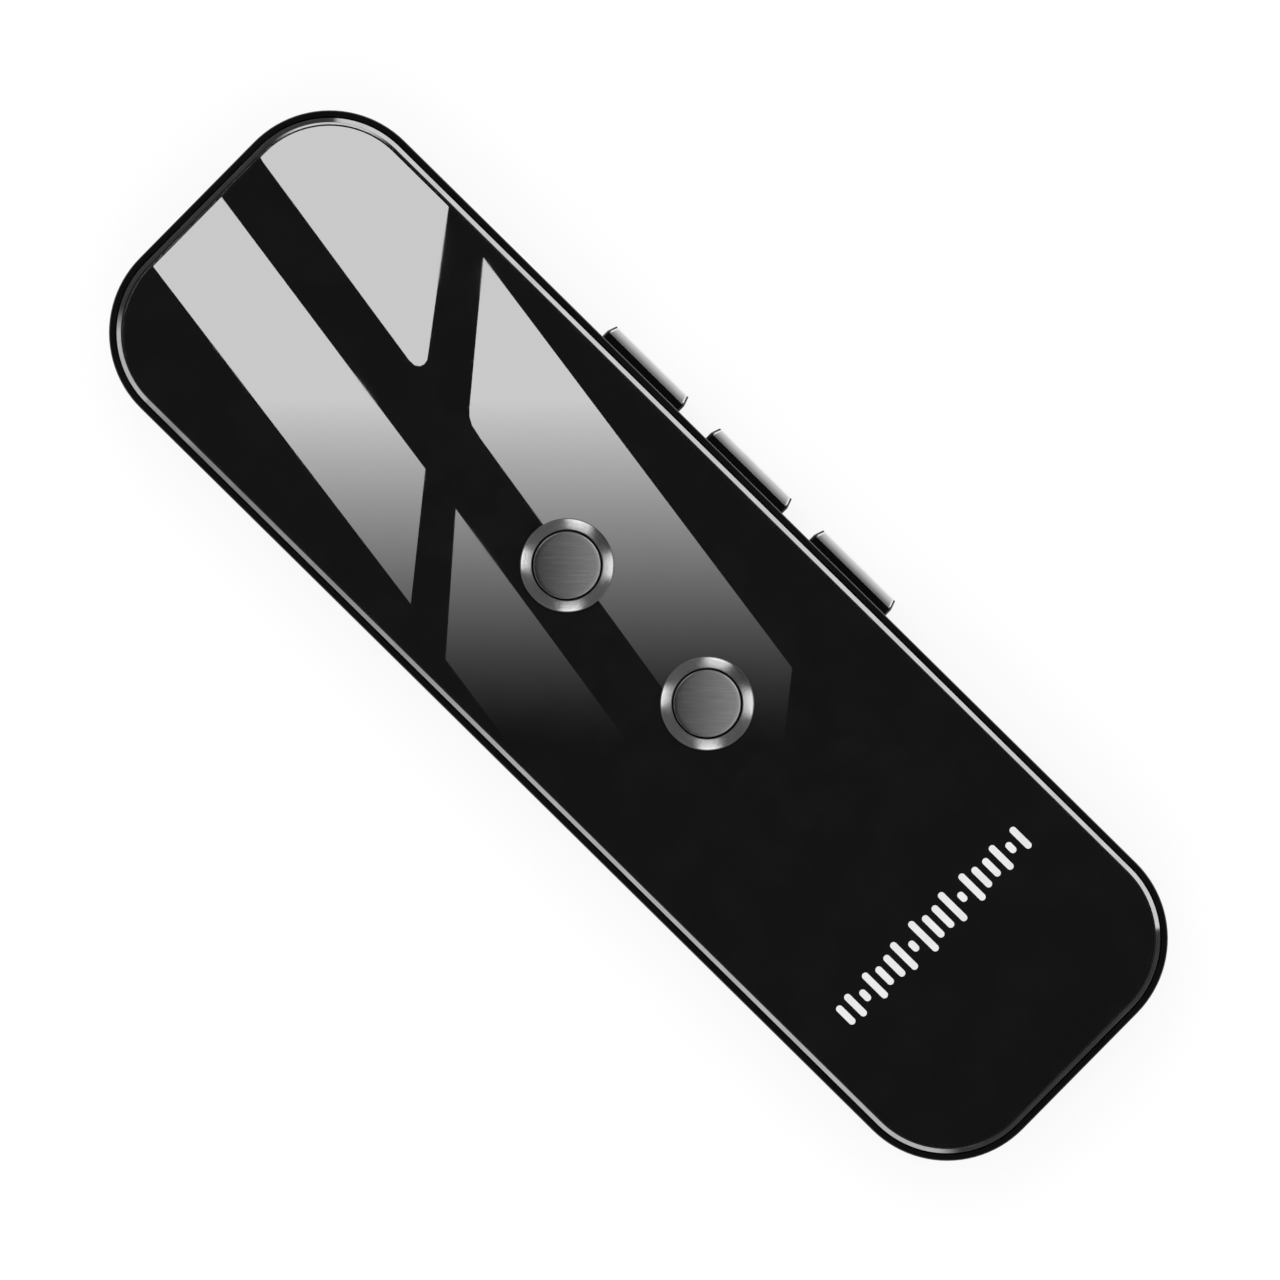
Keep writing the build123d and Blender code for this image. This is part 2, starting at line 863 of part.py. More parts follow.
def make_button_nodes():
    nodes = {}
    for name, y in button_y.items():
        nodes[f"{name}_button_ring"] = make_button_ring(y)
        nodes[f"{name}_button_cap"] = make_button_cap(y)
        nodes[f"{name}_button_switch"] = make_button_switch(y)
        nodes[f"{name}_button_plunger"] = make_button_plunger(y)
    for name, y in key_y.items():
        nodes[f"{name}_key"] = make_side_key(y)
        nodes[f"{name}_switch"] = make_edge_switch(y)
        nodes[f"{name}_plunger"] = make_edge_plunger(y)
    return nodes


def make_board_nodes():
    return {
        "main_board": make_main_board(),
        "processor_chip": on_board(processor_place, processor_size, processor_size, processor_height),
        "memory_chip": on_board(memory_place, memory_size, memory_size, memory_height),
        "amplifier_chip": on_board(amplifier_place, amplifier_size, amplifier_size, small_chip_height),
        "charger_chip": on_board(charger_place, charger_size, charger_size, small_chip_height),
        "crystal": on_board(crystal_place, crystal_length, crystal_width, crystal_height),
        "antenna": on_board(antenna_place, antenna_length, antenna_width, antenna_height),
        "small_components": make_small_components(),
        "wireless_shield": under_board(shield_place, shield_width, shield_length, shield_height),
        "status_light": on_board((0, light_y), light_size, light_size, light_height),
        "light_guide": make_light_guide(),
        "socket_shell": make_socket_shell(),
        "socket_tongue": make_socket_tongue(),
        "microphone": make_microphone(),
        "microphone_boot": make_microphone_boot(),
    }


def make_battery_nodes():
    return {
        "battery_tape": make_battery_tape(),
        "battery_cell": make_battery_cell(),
        "battery_protection_board": make_protection_board(),
        "battery_lead_red": make_battery_lead(1),
        "battery_lead_black": make_battery_lead(-1),
        "battery_connector": make_battery_connector(),
    }


def make_speaker_nodes():
    return {
        "speaker_gasket": make_speaker_gasket(),
        "speaker_mesh": make_speaker_mesh(),
        "speaker_frame": make_speaker_frame(),
        "speaker_cone": make_speaker_cone(),
        "speaker_magnet": make_speaker_magnet(),
        "speaker_lead_red": make_speaker_lead(1),
        "speaker_lead_black": make_speaker_lead(-1),
    }


os.makedirs("parts", exist_ok=True)
groups = [
    make_case_nodes(),
    make_button_nodes(),
    make_board_nodes(),
    make_battery_nodes(),
    make_speaker_nodes(),
]
for group in groups:
    for name, shape in group.items():
        export_step(shape, f"parts/{name}.step")
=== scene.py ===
import json
from math import cos, hypot, pi, radians, sin, sqrt

import bmesh
import bpy
from mathutils import Matrix, Vector

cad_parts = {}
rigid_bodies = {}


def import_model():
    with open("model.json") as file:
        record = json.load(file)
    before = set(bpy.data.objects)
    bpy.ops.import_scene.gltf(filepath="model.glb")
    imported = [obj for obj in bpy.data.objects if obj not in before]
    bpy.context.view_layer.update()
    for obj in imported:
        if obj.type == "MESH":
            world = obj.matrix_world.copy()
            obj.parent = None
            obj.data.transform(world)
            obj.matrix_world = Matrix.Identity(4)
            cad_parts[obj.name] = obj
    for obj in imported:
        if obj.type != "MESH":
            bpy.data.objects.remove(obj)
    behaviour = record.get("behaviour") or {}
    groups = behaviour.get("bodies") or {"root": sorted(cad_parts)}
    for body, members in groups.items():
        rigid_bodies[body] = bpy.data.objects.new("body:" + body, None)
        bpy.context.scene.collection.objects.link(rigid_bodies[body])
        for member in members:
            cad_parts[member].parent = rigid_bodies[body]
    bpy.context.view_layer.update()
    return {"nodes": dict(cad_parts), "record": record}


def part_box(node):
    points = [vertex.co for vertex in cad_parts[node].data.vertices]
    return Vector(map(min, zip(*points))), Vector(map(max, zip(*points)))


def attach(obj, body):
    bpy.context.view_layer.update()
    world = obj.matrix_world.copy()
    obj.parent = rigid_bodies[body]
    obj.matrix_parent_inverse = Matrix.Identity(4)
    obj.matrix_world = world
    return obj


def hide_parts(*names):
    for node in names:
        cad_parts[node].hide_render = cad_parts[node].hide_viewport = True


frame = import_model()
nodes = frame["nodes"]
mm = 0.001   # pieces are modelled in millimetres and scaled once, when they are finished
hair = 0.01   # mm, a distance that tells two levels apart
print("frame loaded:", len(nodes), "nodes")


# Small helpers for modelling by hand

def selectOnly(*pieces):
    for other in bpy.context.view_layer.objects:
        other.select_set(False)
    for piece in pieces:
        piece.select_set(True)
    bpy.context.view_layer.objects.active = pieces[0]


def openMesh(piece):
    selectOnly(piece)
    bpy.ops.object.mode_set(mode="EDIT")


def closeMesh():
    bpy.ops.object.mode_set(mode="OBJECT")


def pickParts(piece, kind, test):
    bpy.ops.mesh.select_mode(type=kind)
    bpy.ops.mesh.select_all(action="DESELECT")
    mesh = bmesh.from_edit_mesh(piece.data)
    for part in mesh.faces if kind == "FACE" else mesh.edges:
        if test(part):
            part.select_set(True)
    bmesh.update_edit_mesh(piece.data)


def pickFaces(piece, test):
    pickParts(piece, "FACE", lambda face: test(face.calc_center_median(), face.normal))


def pickEdges(piece, test):
    pickParts(piece, "EDGE", lambda edge: test(edge.verts[0].co, edge.verts[1].co))


def near(a, b, room=0.004):
    return abs(a - b) < room


def pickLevel(piece, height):
    # the edges that lie at one height
    pickEdges(piece, lambda a, b: near(a.z, height) and near(b.z, height))


def pickFlat(piece, height, way):
    # the faces at one height that look up (way 1) or down (way -1)
    pickFaces(piece, lambda at, normal: near(at.z, height) and normal.z * way > 0.9)


def pushOut(x=0, y=0, z=0):
    bpy.ops.mesh.extrude_region_move(TRANSFORM_OT_translate={"value": (x, y, z)})


def resizeAbout(centre, x=1, y=1, z=1):
    bpy.ops.transform.resize(value=(x, y, z), center_override=centre)


def stepTo(centre, fromRadius, toRadius):
    # a flat ring from one radius to another
    pushOut()
    share = toRadius / fromRadius
    resizeAbout(centre, share, share)


def pickFacing(piece, way):
    # the faces that look one way
    pickFaces(piece, lambda at, normal: normal.dot(Vector(way)) > 0.9)


def paintFaces(piece, index, test):
    pickFaces(piece, test)
    piece.active_material_index = index
    bpy.ops.object.material_slot_assign()


def bevelEdges(width, steps=1):
    bpy.ops.mesh.bevel(offset=width, segments=steps, affect="EDGES")


def bevelLevel(piece, height, width, steps=1):
    pickLevel(piece, height)
    bevelEdges(width, steps)


def insetFaces(width, rise=0):
    bpy.ops.mesh.inset(thickness=width, depth=rise)


def setName(piece, name):
    piece.name = name
    piece.data.name = name


def nameAndSettle(name):
    piece = bpy.context.object
    setName(piece, name)
    bpy.ops.object.transform_apply()
    return piece


def addBlock(name, low, high):
    low, high = Vector(low), Vector(high)
    bpy.ops.mesh.primitive_cube_add(size=1, location=(low + high) / 2, scale=high - low)
    return nameAndSettle(name)


def addRod(name, x, y, zLow, zHigh, radius, sides=64):
    middle = (x, y, (zLow + zHigh) / 2)
    bpy.ops.mesh.primitive_cylinder_add(vertices=sides, radius=radius, depth=zHigh - zLow, location=middle)
    return nameAndSettle(name)


def flareEnd(cutter, way, flare, centre, *mouth):
    # draws the end that lies flare inside the surface as far out of it, and widens it
    openMesh(cutter)
    pickFacing(cutter, way)
    pushOut(*(share * 2 * flare for share in way))
    resizeAbout(centre, *mouth)
    closeMesh()
    return cutter


def roundUprights(piece, radius, steps):
    openMesh(piece)
    pickEdges(piece, lambda a, b: near(a.x, b.x) and near(a.y, b.y))
    bevelEdges(radius, steps)
    closeMesh()


def addSlab(name, inset, zLow, zHigh, outline):
    # a plate of the case's outline, moved in by inset
    x, y = outline["width"] / 2 - inset, outline["length"] / 2 - inset
    slab = addBlock(name, (-x, -y, zLow), (x, y, zHigh))
    roundUprights(slab, outline["cornerRadius"] - inset, outline["cornerSteps"])
    return slab


def combine(piece, other, operation):
    selectOnly(piece)
    step = piece.modifiers.new("combine", "BOOLEAN")
    step.object = other
    step.operation = operation
    step.solver = "EXACT"
    bpy.ops.object.modifier_apply(modifier=step.name)
    bpy.data.objects.remove(other)


def cutAway(piece, other):
    combine(piece, other, "DIFFERENCE")


def copyPiece(piece, name, x=0, y=0):
    twin = piece.copy()
    twin.data = piece.data.copy()
    bpy.context.scene.collection.objects.link(twin)
    setName(twin, name)
    twin.data.transform(Matrix.Translation((x, y, 0)))
    return twin


def joinPieces(pieces, name):
    selectOnly(*pieces)
    bpy.ops.object.join()
    setName(pieces[0], name)
    return pieces[0]


def finishPiece(piece, body, replaced, slot=None, material=None, smoothAngle=32):
    openMesh(piece)
    bpy.ops.mesh.select_all(action="SELECT")
    bpy.ops.mesh.normals_make_consistent(inside=False)
    closeMesh()
    piece.scale = (mm, mm, mm)
    bpy.ops.object.transform_apply()
    bpy.ops.object.shade_smooth_by_angle(angle=radians(smoothAngle))
    step = piece.modifiers.new("evenShading", "WEIGHTED_NORMAL")
    step.keep_sharp = True
    bpy.ops.object.modifier_apply(modifier=step.name)
    if not piece.data.materials:
        piece.data.materials.append(material or finishes[slot])
    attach(piece, body)
    if replaced:
        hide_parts(*replaced)
    return piece


# Camera, world, floor and lamps

view = {"lens": 300, "sensor": 36, "height": 1.203, "turn": -45.39, "x": -0.00023, "y": -0.000477,
        "nearest": 0.01, "farthest": 60}
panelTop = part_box("front_panel")[1].z


def placeCamera():
    place = (view["x"], view["y"], panelTop + view["height"])
    bpy.ops.object.camera_add(location=place, rotation=(0, 0, radians(view["turn"])))
    camera = bpy.context.object
    camera.name = "frontView"
    camera.data.lens = view["lens"]
    camera.data.sensor_width = view["sensor"]
    camera.data.clip_start = view["nearest"]
    camera.data.clip_end = view["farthest"]
    bpy.context.scene.camera = camera


placeCamera()
print("camera placed")


def addNode(tree, kind, inputs=None, **settings):
    node = tree.nodes.new("ShaderNode" + kind)
    for key, value in settings.items():
        setattr(node, key, value)
    for key, value in (inputs or {}).items():
        if isinstance(value, bpy.types.NodeSocket):
            tree.links.new(value, node.inputs[key])
        else:
            node.inputs[key].default_value = value
    return node


def addMath(tree, operation, first, second=0):
    return addNode(tree, "Math", {0: first, 1: second}, operation=operation).outputs[0]


def times(tree, first, second):
    return addMath(tree, "MULTIPLY", first, second)


def larger(tree, first, second):
    return addMath(tree, "MAXIMUM", first, second)


def stretchValue(tree, value, fromLow, fromHigh, toLow, toHigh, soft=False):
    limits = {"Value": value, "From Min": fromLow, "From Max": fromHigh, "To Min": toLow, "To Max": toHigh}
    kind = "SMOOTHSTEP" if soft else "LINEAR"
    return addNode(tree, "MapRange", limits, interpolation_type=kind).outputs[0]


def ramp(tree, value, low, high):
    # 0 at low, 1 at high
    return stretchValue(tree, value, low, high, 0, 1, soft=True)


def ownPlace(tree):
    return addNode(tree, "TexCoord").outputs["Object"]


def mixShaders(tree, share, first, second):
    return addNode(tree, "MixShader", {0: share, 1: first.outputs[0], 2: second.outputs[0]})


def startShader(name):
    # an empty material that isn't sampled as a lamp
    material = bpy.data.materials.new(name)
    material.use_nodes = True
    material.node_tree.nodes.clear()
    material.cycles.emission_sampling = "NONE"
    return material, material.node_tree


def seenDirectly(tree):
    # 1 for rays from the camera, a mirror or glass
    path = addNode(tree, "LightPath")
    seen = larger(tree, path.outputs["Is Camera Ray"], path.outputs["Is Glossy Ray"])
    return larger(tree, seen, path.outputs["Is Transmission Ray"])


def grey(level, blue=None):
    return (level, level, blue or level)


roomLight = {"shown": 1, "given": 0.75}


def buildRoom():
    bpy.context.scene.view_settings.view_transform = "Standard"
    world = bpy.data.worlds.new("softRoom")
    bpy.context.scene.world = world
    world.use_nodes = True
    tree = world.node_tree
    tree.nodes.clear()
    given, shown = (addNode(tree, "Background", {"Color": (1, 1, 1, 1), "Strength": roomLight[part]})
                    for part in ("given", "shown"))
    mix = mixShaders(tree, seenDirectly(tree), given, shown)
    addNode(tree, "OutputWorld", {"Surface": mix.outputs[0]})
    world.cycles.sampling_method = "NONE"


floorLook = {"size": 12, "drop": 0.00002, "color": 0.93, "glow": 1.05, "glowShare": 0.8, "touch": 0.0002}


def buildFloor():
    look = floorLook
    bpy.ops.mesh.primitive_plane_add(size=look["size"], location=(0, 0, -look["drop"]))
    floor = bpy.context.object
    floor.name = "paleFloor"
    material, tree = startShader("paleFloor")
    matt = addNode(tree, "BsdfDiffuse", {"Color": (*grey(look["color"]), 1)})
    glow = addNode(tree, "Emission", {"Strength": look["glow"]})
    shown = mixShaders(tree, look["glowShare"], matt, glow)
    surface = mixShaders(tree, seenDirectly(tree), matt, shown)
    # clear from below and where the object touches it, so that the underside can be seen and is lit
    path = addNode(tree, "LightPath")
    touching = addMath(tree, "LESS_THAN", path.outputs["Ray Length"], look["touch"])
    below = addNode(tree, "NewGeometry").outputs["Backfacing"]
    clear = addNode(tree, "BsdfTransparent")
    mix = mixShaders(tree, larger(tree, below, touching), surface, clear)
    addNode(tree, "OutputMaterial", {"Surface": mix.outputs[0]})
    floor.data.materials.append(material)


def hideFrom(thing, *rays):
    for kind in rays:
        setattr(thing, "visible_" + kind, False)


def showOnlyInReflections(thing):
    hideFrom(thing, "camera", "diffuse", "transmission", "volume_scatter", "shadow")


darkCeiling = {"radius": 3.2, "sides": 64, "bands": 48, "rim": 0.02,
               "fadeFrom": 8, "fadeTo": 28, "dark": 0.02}


def buildDarkCeiling():
    # a dark canopy high over the table, which gloss black surfaces reflect
    size = darkCeiling
    bpy.ops.mesh.primitive_uv_sphere_add(segments=size["sides"], ring_count=size["bands"],
                                         radius=size["radius"])
    ceiling = bpy.context.object
    ceiling.name = "darkCeiling"
    openMesh(ceiling)
    bpy.ops.mesh.select_all(action="SELECT")
    bpy.ops.mesh.bisect(plane_co=(0, 0, size["rim"]), plane_no=(0, 0, 1), clear_inner=True)
    closeMesh()
    bpy.ops.object.shade_smooth()
    material, tree = startShader("darkCeiling")
    height = addNode(tree, "SeparateXYZ", {0: ownPlace(tree)}).outputs["Z"]
    low, high = (sin(radians(size[end])) * size["radius"] for end in ("fadeFrom", "fadeTo"))
    fade = stretchValue(tree, height, low, high, 1, size["dark"], soft=True)
    glow = addNode(tree, "Emission", {"Strength": fade})
    addNode(tree, "OutputMaterial", {"Surface": glow.outputs[0]})
    ceiling.data.materials.append(material)
    showOnlyInReflections(ceiling)


softLamps = {
    "size": 0.9,
    "places": {"keyLamp": ((0.25, 0.55, 1.1), 0.13), "fillLamp": ((-0.6, -0.45, 0.95), 0.07)},
}


def buildLamps():
    # two soft boxes that shape matt surfaces; gloss shows the cards below instead
    for name, (place, share) in softLamps["places"].items():
        aim = Vector((0, 0, panelTop)) - Vector(place)
        turn = aim.to_track_quat("-Z", "Y").to_euler()
        bpy.ops.object.light_add(type="AREA", location=place, rotation=turn)
        lamp = bpy.context.object
        lamp.name = name
        lamp.data.shape = "SQUARE"
        lamp.data.size = softLamps["size"]
        # share is what it adds to a white surface that faces up, in watts through its distance and slant
        lamp.data.energy = 4 * pi * aim.length**4 / place[2]**2 * share
        lamp.data.specular_factor = 0
        hideFrom(lamp, "camera", "glossy")


def glowMaterial(name, makeLevel, size):
    # shines and lets through what is behind it
    material, tree = startShader(name)
    glow = addNode(tree, "Emission", {"Strength": makeLevel(tree, ownPlace(tree), size)})
    clear = addNode(tree, "BsdfTransparent")
    both = addNode(tree, "AddShader", {0: glow.outputs[0], 1: clear.outputs[0]})
    addNode(tree, "OutputMaterial", {"Surface": both.outputs[0]})
    return material


def alongLine(tree, place, way):
    return addNode(tree, "VectorMath", {0: place, 1: way}, operation="DOT_PRODUCT").outputs["Value"]


def placeCard(card, name, material, receivers):
    card.name = name
    card.data.materials.append(material)
    showOnlyInReflections(card)
    card.light_linking.receiver_collection = receivers


# Pale cards above the panel, given by where the panel shows them, in millimetres
panelCards = {
    "height": 0.3, "peak": 14.5, "shadeFrom": -12.9, "shadeOver": 39.5,
    "outlines": {
        "cardTopRight": [(10.5, 75), (8.3, 67.7), (4.2, 41.8), (3.95, 40.2), (3.98, 39.4), (4.3, 38.9),
                         (4.8, 38.7), (5.4, 38.8), (6.1, 39.3), (19, 48.9), (27, 54.8)],
        "cardTopLeft": [(-9.6, 74), (-8.8, 68.2), (-15.5, 20.8), (-3.5, 30.3), (2.2, 68.3), (3.1, 74)],
        "cardMiddle": [(18.1, 42.4), (4.9, 31.6), (4.2, 30.9), (3.7, 30), (3.3, 28.2), (-3.5, -13.2),
                       (2.7, -20.3), (9.6, -14.9)],
        "cardLeft": [(-4.3, 24.7), (-17.2, 13.6), (-19.3, -0.3), (-9.8, -10)],
    },
}
panelGrow = 1 + panelCards["height"] / view["height"]


def panelLevel(tree, place, size):
    # brightness rises along the picture's upward direction
    turn = radians(-view["turn"])
    upward = alongLine(tree, place, (sin(turn), cos(turn), 0))
    low = size["shadeFrom"] * mm * panelGrow
    share = stretchValue(tree, upward, low, low + size["shadeOver"] * mm * panelGrow, 0, 1)
    return times(tree, addMath(tree, "POWER", share, 2), size["peak"])


def buildPanelCards(receivers):
    size = panelCards
    material = glowMaterial("panelCards", panelLevel, size)
    for name, outline in size["outlines"].items():
        bpy.ops.mesh.primitive_circle_add(vertices=len(outline), radius=1, fill_type="NGON")
        card = bpy.context.object
        for vertex, (x, y) in zip(card.data.vertices, outline):
            vertex.co.x = view["x"] + (x * mm - view["x"]) * panelGrow
            vertex.co.y = view["y"] + (y * mm - view["y"]) * panelGrow
            vertex.co.z = panelTop + size["height"]
        placeCard(card, name, material, receivers)


softWall = {
    "radius": 1.6, "sides": 96, "low": 0.24, "high": 1.9, "fade": 0.3, "base": 0.03,
    "keyBox": (-133.5, -45.5, 1, 0.8), "farBox": (27, 146, 16, 0.58),
    "shade": (91, 85.5, 84.6, 0.3),
}


def wallLevel(tree, place, size):
    split = addNode(tree, "SeparateXYZ", {0: place})
    left = times(tree, split.outputs["X"], -1)
    turn = addMath(tree, "DEGREES", addMath(tree, "ARCTAN2", left, split.outputs["Y"]))
    boxes = []
    for low, high, soft, level in (size["keyBox"], size["farBox"]):
        rise = stretchValue(tree, turn, low, low + soft, 0, level, soft=True)
        fall = stretchValue(tree, turn, high - soft, high, 1, 0, soft=True)
        boxes.append(times(tree, rise, fall))
    bright, dim, end, least = size["shade"]
    shade = stretchValue(tree, turn, bright, dim, 1, least)
    shade = larger(tree, shade, addMath(tree, "LESS_THAN", turn, end))
    level = addMath(tree, "ADD", boxes[0], times(tree, boxes[1], shade))
    level = addMath(tree, "ADD", level, size["base"])
    return times(tree, level, ramp(tree, split.outputs["Z"], size["low"], size["low"] + size["fade"]))


def buildSoftWall(receivers):
    # a round wall with a long soft box on each side, which the trim's outer slope shows; turns start
    # at +Y, and the far box is shaded towards the top end
    size = softWall
    middle = (0, 0, (size["high"] + size["low"]) / 2)
    bpy.ops.mesh.primitive_cylinder_add(vertices=size["sides"], radius=size["radius"], location=middle,
                                        depth=size["high"] - size["low"], end_fill_type="NOTHING")
    placeCard(nameAndSettle("softWall"), "softWall", glowMaterial("softWall", wallLevel, size), receivers)


# Discs high above, which near-level metal shows; distances are shares of the height
ringCanopy = {
    "height": 1.4, "radius": 2.4, "base": 0.16, "peak": 1.75, "turns": (29.5, -45.5, -132, 125.5),
    "wedges": ((22, 5), (22, 5), (19, 3), (18, 3)), "near": (0.06, 0.36), "far": (0.9, 1.6),
    "dimTurn": -6, "dimWedge": (22, 6), "dim": 0.55,
}
capCanopy = {
    "height": 1.4, "radius": 1.9, "turn": -45.5, "from": -0.17, "to": 0.53, "bright": 1.02,
    "arcs": (85, -8), "arcWedge": (26, 8), "arcNear": (0.5, 0.7), "arcPeak": 1.2,
}
cornerCanopy = {"height": 0.5, "radius": 0.36, "x": 0.0092, "y": 0.058, "turn": 46, "wedge": (36, 14),
                "near": (0.16, 0.24), "level": 0.85}


def placeCanopy(name, size, makeLevel, receivers, sides=64):
    place = (size.get("x", 0), size.get("y", 0), panelTop + size["height"])
    bpy.ops.mesh.primitive_circle_add(vertices=sides, radius=size["radius"], fill_type="NGON", location=place)
    placeCard(nameAndSettle(name), name, glowMaterial(name, makeLevel, size), receivers)


def addWedges(tree, place, size, turns, wedges):
    # 1 in the given directions from the middle of the disc, and the distance from its middle
    level = addNode(tree, "VectorMath", {0: place, 1: (size.get("x", 0), size.get("y", 0), 0)},
                    operation="SUBTRACT").outputs[0]
    flat = addNode(tree, "VectorMath", {0: level, 1: (1, 1, 0)}, operation="MULTIPLY").outputs[0]
    out = addNode(tree, "VectorMath", {0: flat}, operation="LENGTH").outputs["Value"]
    way = addNode(tree, "VectorMath", {0: flat}, operation="NORMALIZE").outputs[0]
    found = None
    for turn, wedge in zip(turns, wedges):
        wide, narrow = (cos(radians(a)) for a in wedge)
        angle = radians(turn)
        match = alongLine(tree, way, (cos(angle), sin(angle), 0))
        share = ramp(tree, match, wide, narrow)
        found = larger(tree, found, share) if found else share
    return found, out


def fadeOut(tree, out, size, limits, start, end):
    return stretchValue(tree, out, *(v * size["height"] for v in limits), start, end, soft=True)


def ringLevel(tree, place, size):
    # faint, with four bright wedges for the highlights round the button rings
    wedges, out = addWedges(tree, place, size, size["turns"], size["wedges"])
    dim = addWedges(tree, place, size, [size["dimTurn"]], [size["dimWedge"]])[0]
    reach = times(tree, fadeOut(tree, out, size, size["near"], 0, 1),
                  fadeOut(tree, out, size, size["far"], 1, 0))
    shape = times(tree, times(tree, wedges, reach), size["peak"])
    base = stretchValue(tree, dim, 0, 1, size["base"], size["base"] * (1 - size["dim"]))
    return addMath(tree, "ADD", shape, base)


def capLevel(tree, place, size):
    # shades evenly from one side to the other for the satin caps, with two arcs for their edges
    angle = radians(size["turn"])
    across = alongLine(tree, place, (cos(angle), sin(angle), 0))
    limits = (size["from"] * size["height"], size["to"] * size["height"])
    even = stretchValue(tree, across, *limits, 0, size["bright"])
    arcs, out = addWedges(tree, place, size, size["arcs"], [size["arcWedge"]] * 2)
    arcs = times(tree, arcs, fadeOut(tree, out, size, size["arcNear"], 0, size["arcPeak"]))
    return addMath(tree, "ADD", even, arcs)


def cornerLevel(tree, place, size):
    # the trim's inner slope shows it at one corner
    wedge, out = addWedges(tree, place, size, [size["turn"]], [size["wedge"]])
    return times(tree, wedge, fadeOut(tree, out, size, size["near"], 0, size["level"]))


buildRoom()
buildFloor()
buildDarkCeiling()
print("room, floor and dark ceiling built")


# Shared surface effects, each a node group that gives masks and heights

def addSockets(group, way, labels):
    kind = "NodeSocketFloat"
    return [group.interface.new_socket(name=label, in_out=way, socket_type=kind) for label in labels]


def startGroup(name, **inputs):
    group = bpy.data.node_groups.new(name, "ShaderNodeTree")
    for socket, value in zip(addSockets(group, "INPUT", inputs), inputs.values()):
        socket.default_value = value
    return group, group.nodes.new("NodeGroupInput").outputs, ownPlace(group)


def endGroup(group, **results):
    addSockets(group, "OUTPUT", results)
    end = group.nodes.new("NodeGroupOutput")
    for label, value in results.items():
        group.links.new(value, end.inputs[label])
    return group


def addNoise(tree, place, scale, detail, roughness=0.5, distortion=0):
    inputs = {"Vector": place, "Scale": scale, "Detail": detail, "Roughness": roughness,
              "Distortion": distortion}
    return addNode(tree, "TexNoise", inputs).outputs["Fac"]


def buildHandlingMarks():
    # smudges some 10 mm across and sparse fine hairlines
    group, given, place = startGroup("handlingMarks", Size=90)
    smudge = ramp(group, addNoise(group, place, given["Size"], 5, roughness=0.6), 0.46, 0.68)
    lines = []
    for turn, seed in ((0.5, 3), (2.2, 11)):
        drawn = {"Vector": place, "Location": (seed, seed, 0), "Rotation": (0, 0, turn),
                 "Scale": (30, 4200, 600)}
        streak = addNoise(group, addNode(group, "Mapping", drawn).outputs[0], 1, 1)
        lines.append(ramp(group, streak, 0.72, 0.78))
    return endGroup(group, Smudge=smudge, Hairline=larger(group, *lines))


def buildMouldGrain():
    # the fine skin of a moulded part and its faint flow mottle
    group, given, place = startGroup("mouldGrain", Grain=9000, Flow=160)
    fine = addNoise(group, place, given["Grain"], 2)
    flow = addNoise(group, place, given["Flow"], 3)
    return endGroup(group, Height=fine, Mottle=ramp(group, flow, 0.3, 0.7))


def buildBrushLines():
    # fine straight brushing along the turned axis
    group, given, place = startGroup("brushLines", Across=9000, Along=260)
    turned = addNode(group, "Mapping", {"Vector": place, "Rotation": (0, 0, radians(45))})
    stretch = addNode(group, "CombineXYZ", {0: given["Along"], 1: given["Across"], 2: given["Across"]})
    lined = addNode(group, "VectorMath", {0: turned.outputs[0], 1: stretch.outputs[0]}, operation="MULTIPLY")
    streak = addNoise(group, lined.outputs[0], 1, 3, roughness=0.6)
    return endGroup(group, Height=streak, Tone=ramp(group, streak, 0.3, 0.7))


def buildPlainWeave():
    # over-and-under threads
    group, given, place = startGroup("plainWeave", Threads=5200)
    split = addNode(group, "SeparateXYZ", {0: place})
    across = addMath(group, "SINE", times(group, split.outputs["X"], given["Threads"]))
    along = addMath(group, "SINE", times(group, split.outputs["Y"], given["Threads"]))
    crossing = times(group, across, along)
    ridge = larger(group, addMath(group, "ABSOLUTE", across), addMath(group, "ABSOLUTE", along))
    height = addMath(group, "ADD", ridge, times(group, crossing, 0.35))
    return endGroup(group, Height=height, Gap=ramp(group, ridge, 0.62, 0.2))


def buildEdgeRub():
    # rubbed ridges, broken up by noise
    group, given, place = startGroup("edgeRub", From=0.53, To=0.6)
    sharp = addNode(group, "NewGeometry").outputs["Pointiness"]
    ridge = stretchValue(group, sharp, given["From"], given["To"], 0, 1)
    broken = ramp(group, addNoise(group, place, 420, 4), 0.35, 0.65)
    return endGroup(group, Rub=times(group, ridge, broken))


def buildCopperTracks():
    # the etched lines and plated holes of a circuit board
    group, given, place = startGroup("copperTracks", Pitch=900)
    cells = addNode(group, "TexVoronoi", {"Vector": place, "Scale": given["Pitch"], "Randomness": 0.65},
                    distance="MANHATTAN", feature="F1", voronoi_dimensions="2D")
    steps = addMath(group, "FRACT", times(group, cells.outputs["Distance"], 5))
    fromEdge = addMath(group, "ABSOLUTE", addMath(group, "SUBTRACT", steps, 0.5))
    dots = addNode(group, "TexVoronoi", {"Vector": place, "Scale": given["Pitch"]}, voronoi_dimensions="2D")
    pad = ramp(group, dots.outputs["Distance"], 0.22, 0.16)
    return endGroup(group, Track=ramp(group, fromEdge, 0.2, 0.14), Pad=pad)


handlingMarks = buildHandlingMarks()
mouldGrain = buildMouldGrain()
brushLines = buildBrushLines()
plainWeave = buildPlainWeave()
edgeRub = buildEdgeRub()
copperTracks = buildCopperTracks()


def useGroup(tree, group, **values):
    return addNode(tree, "Group", values, node_tree=group).outputs


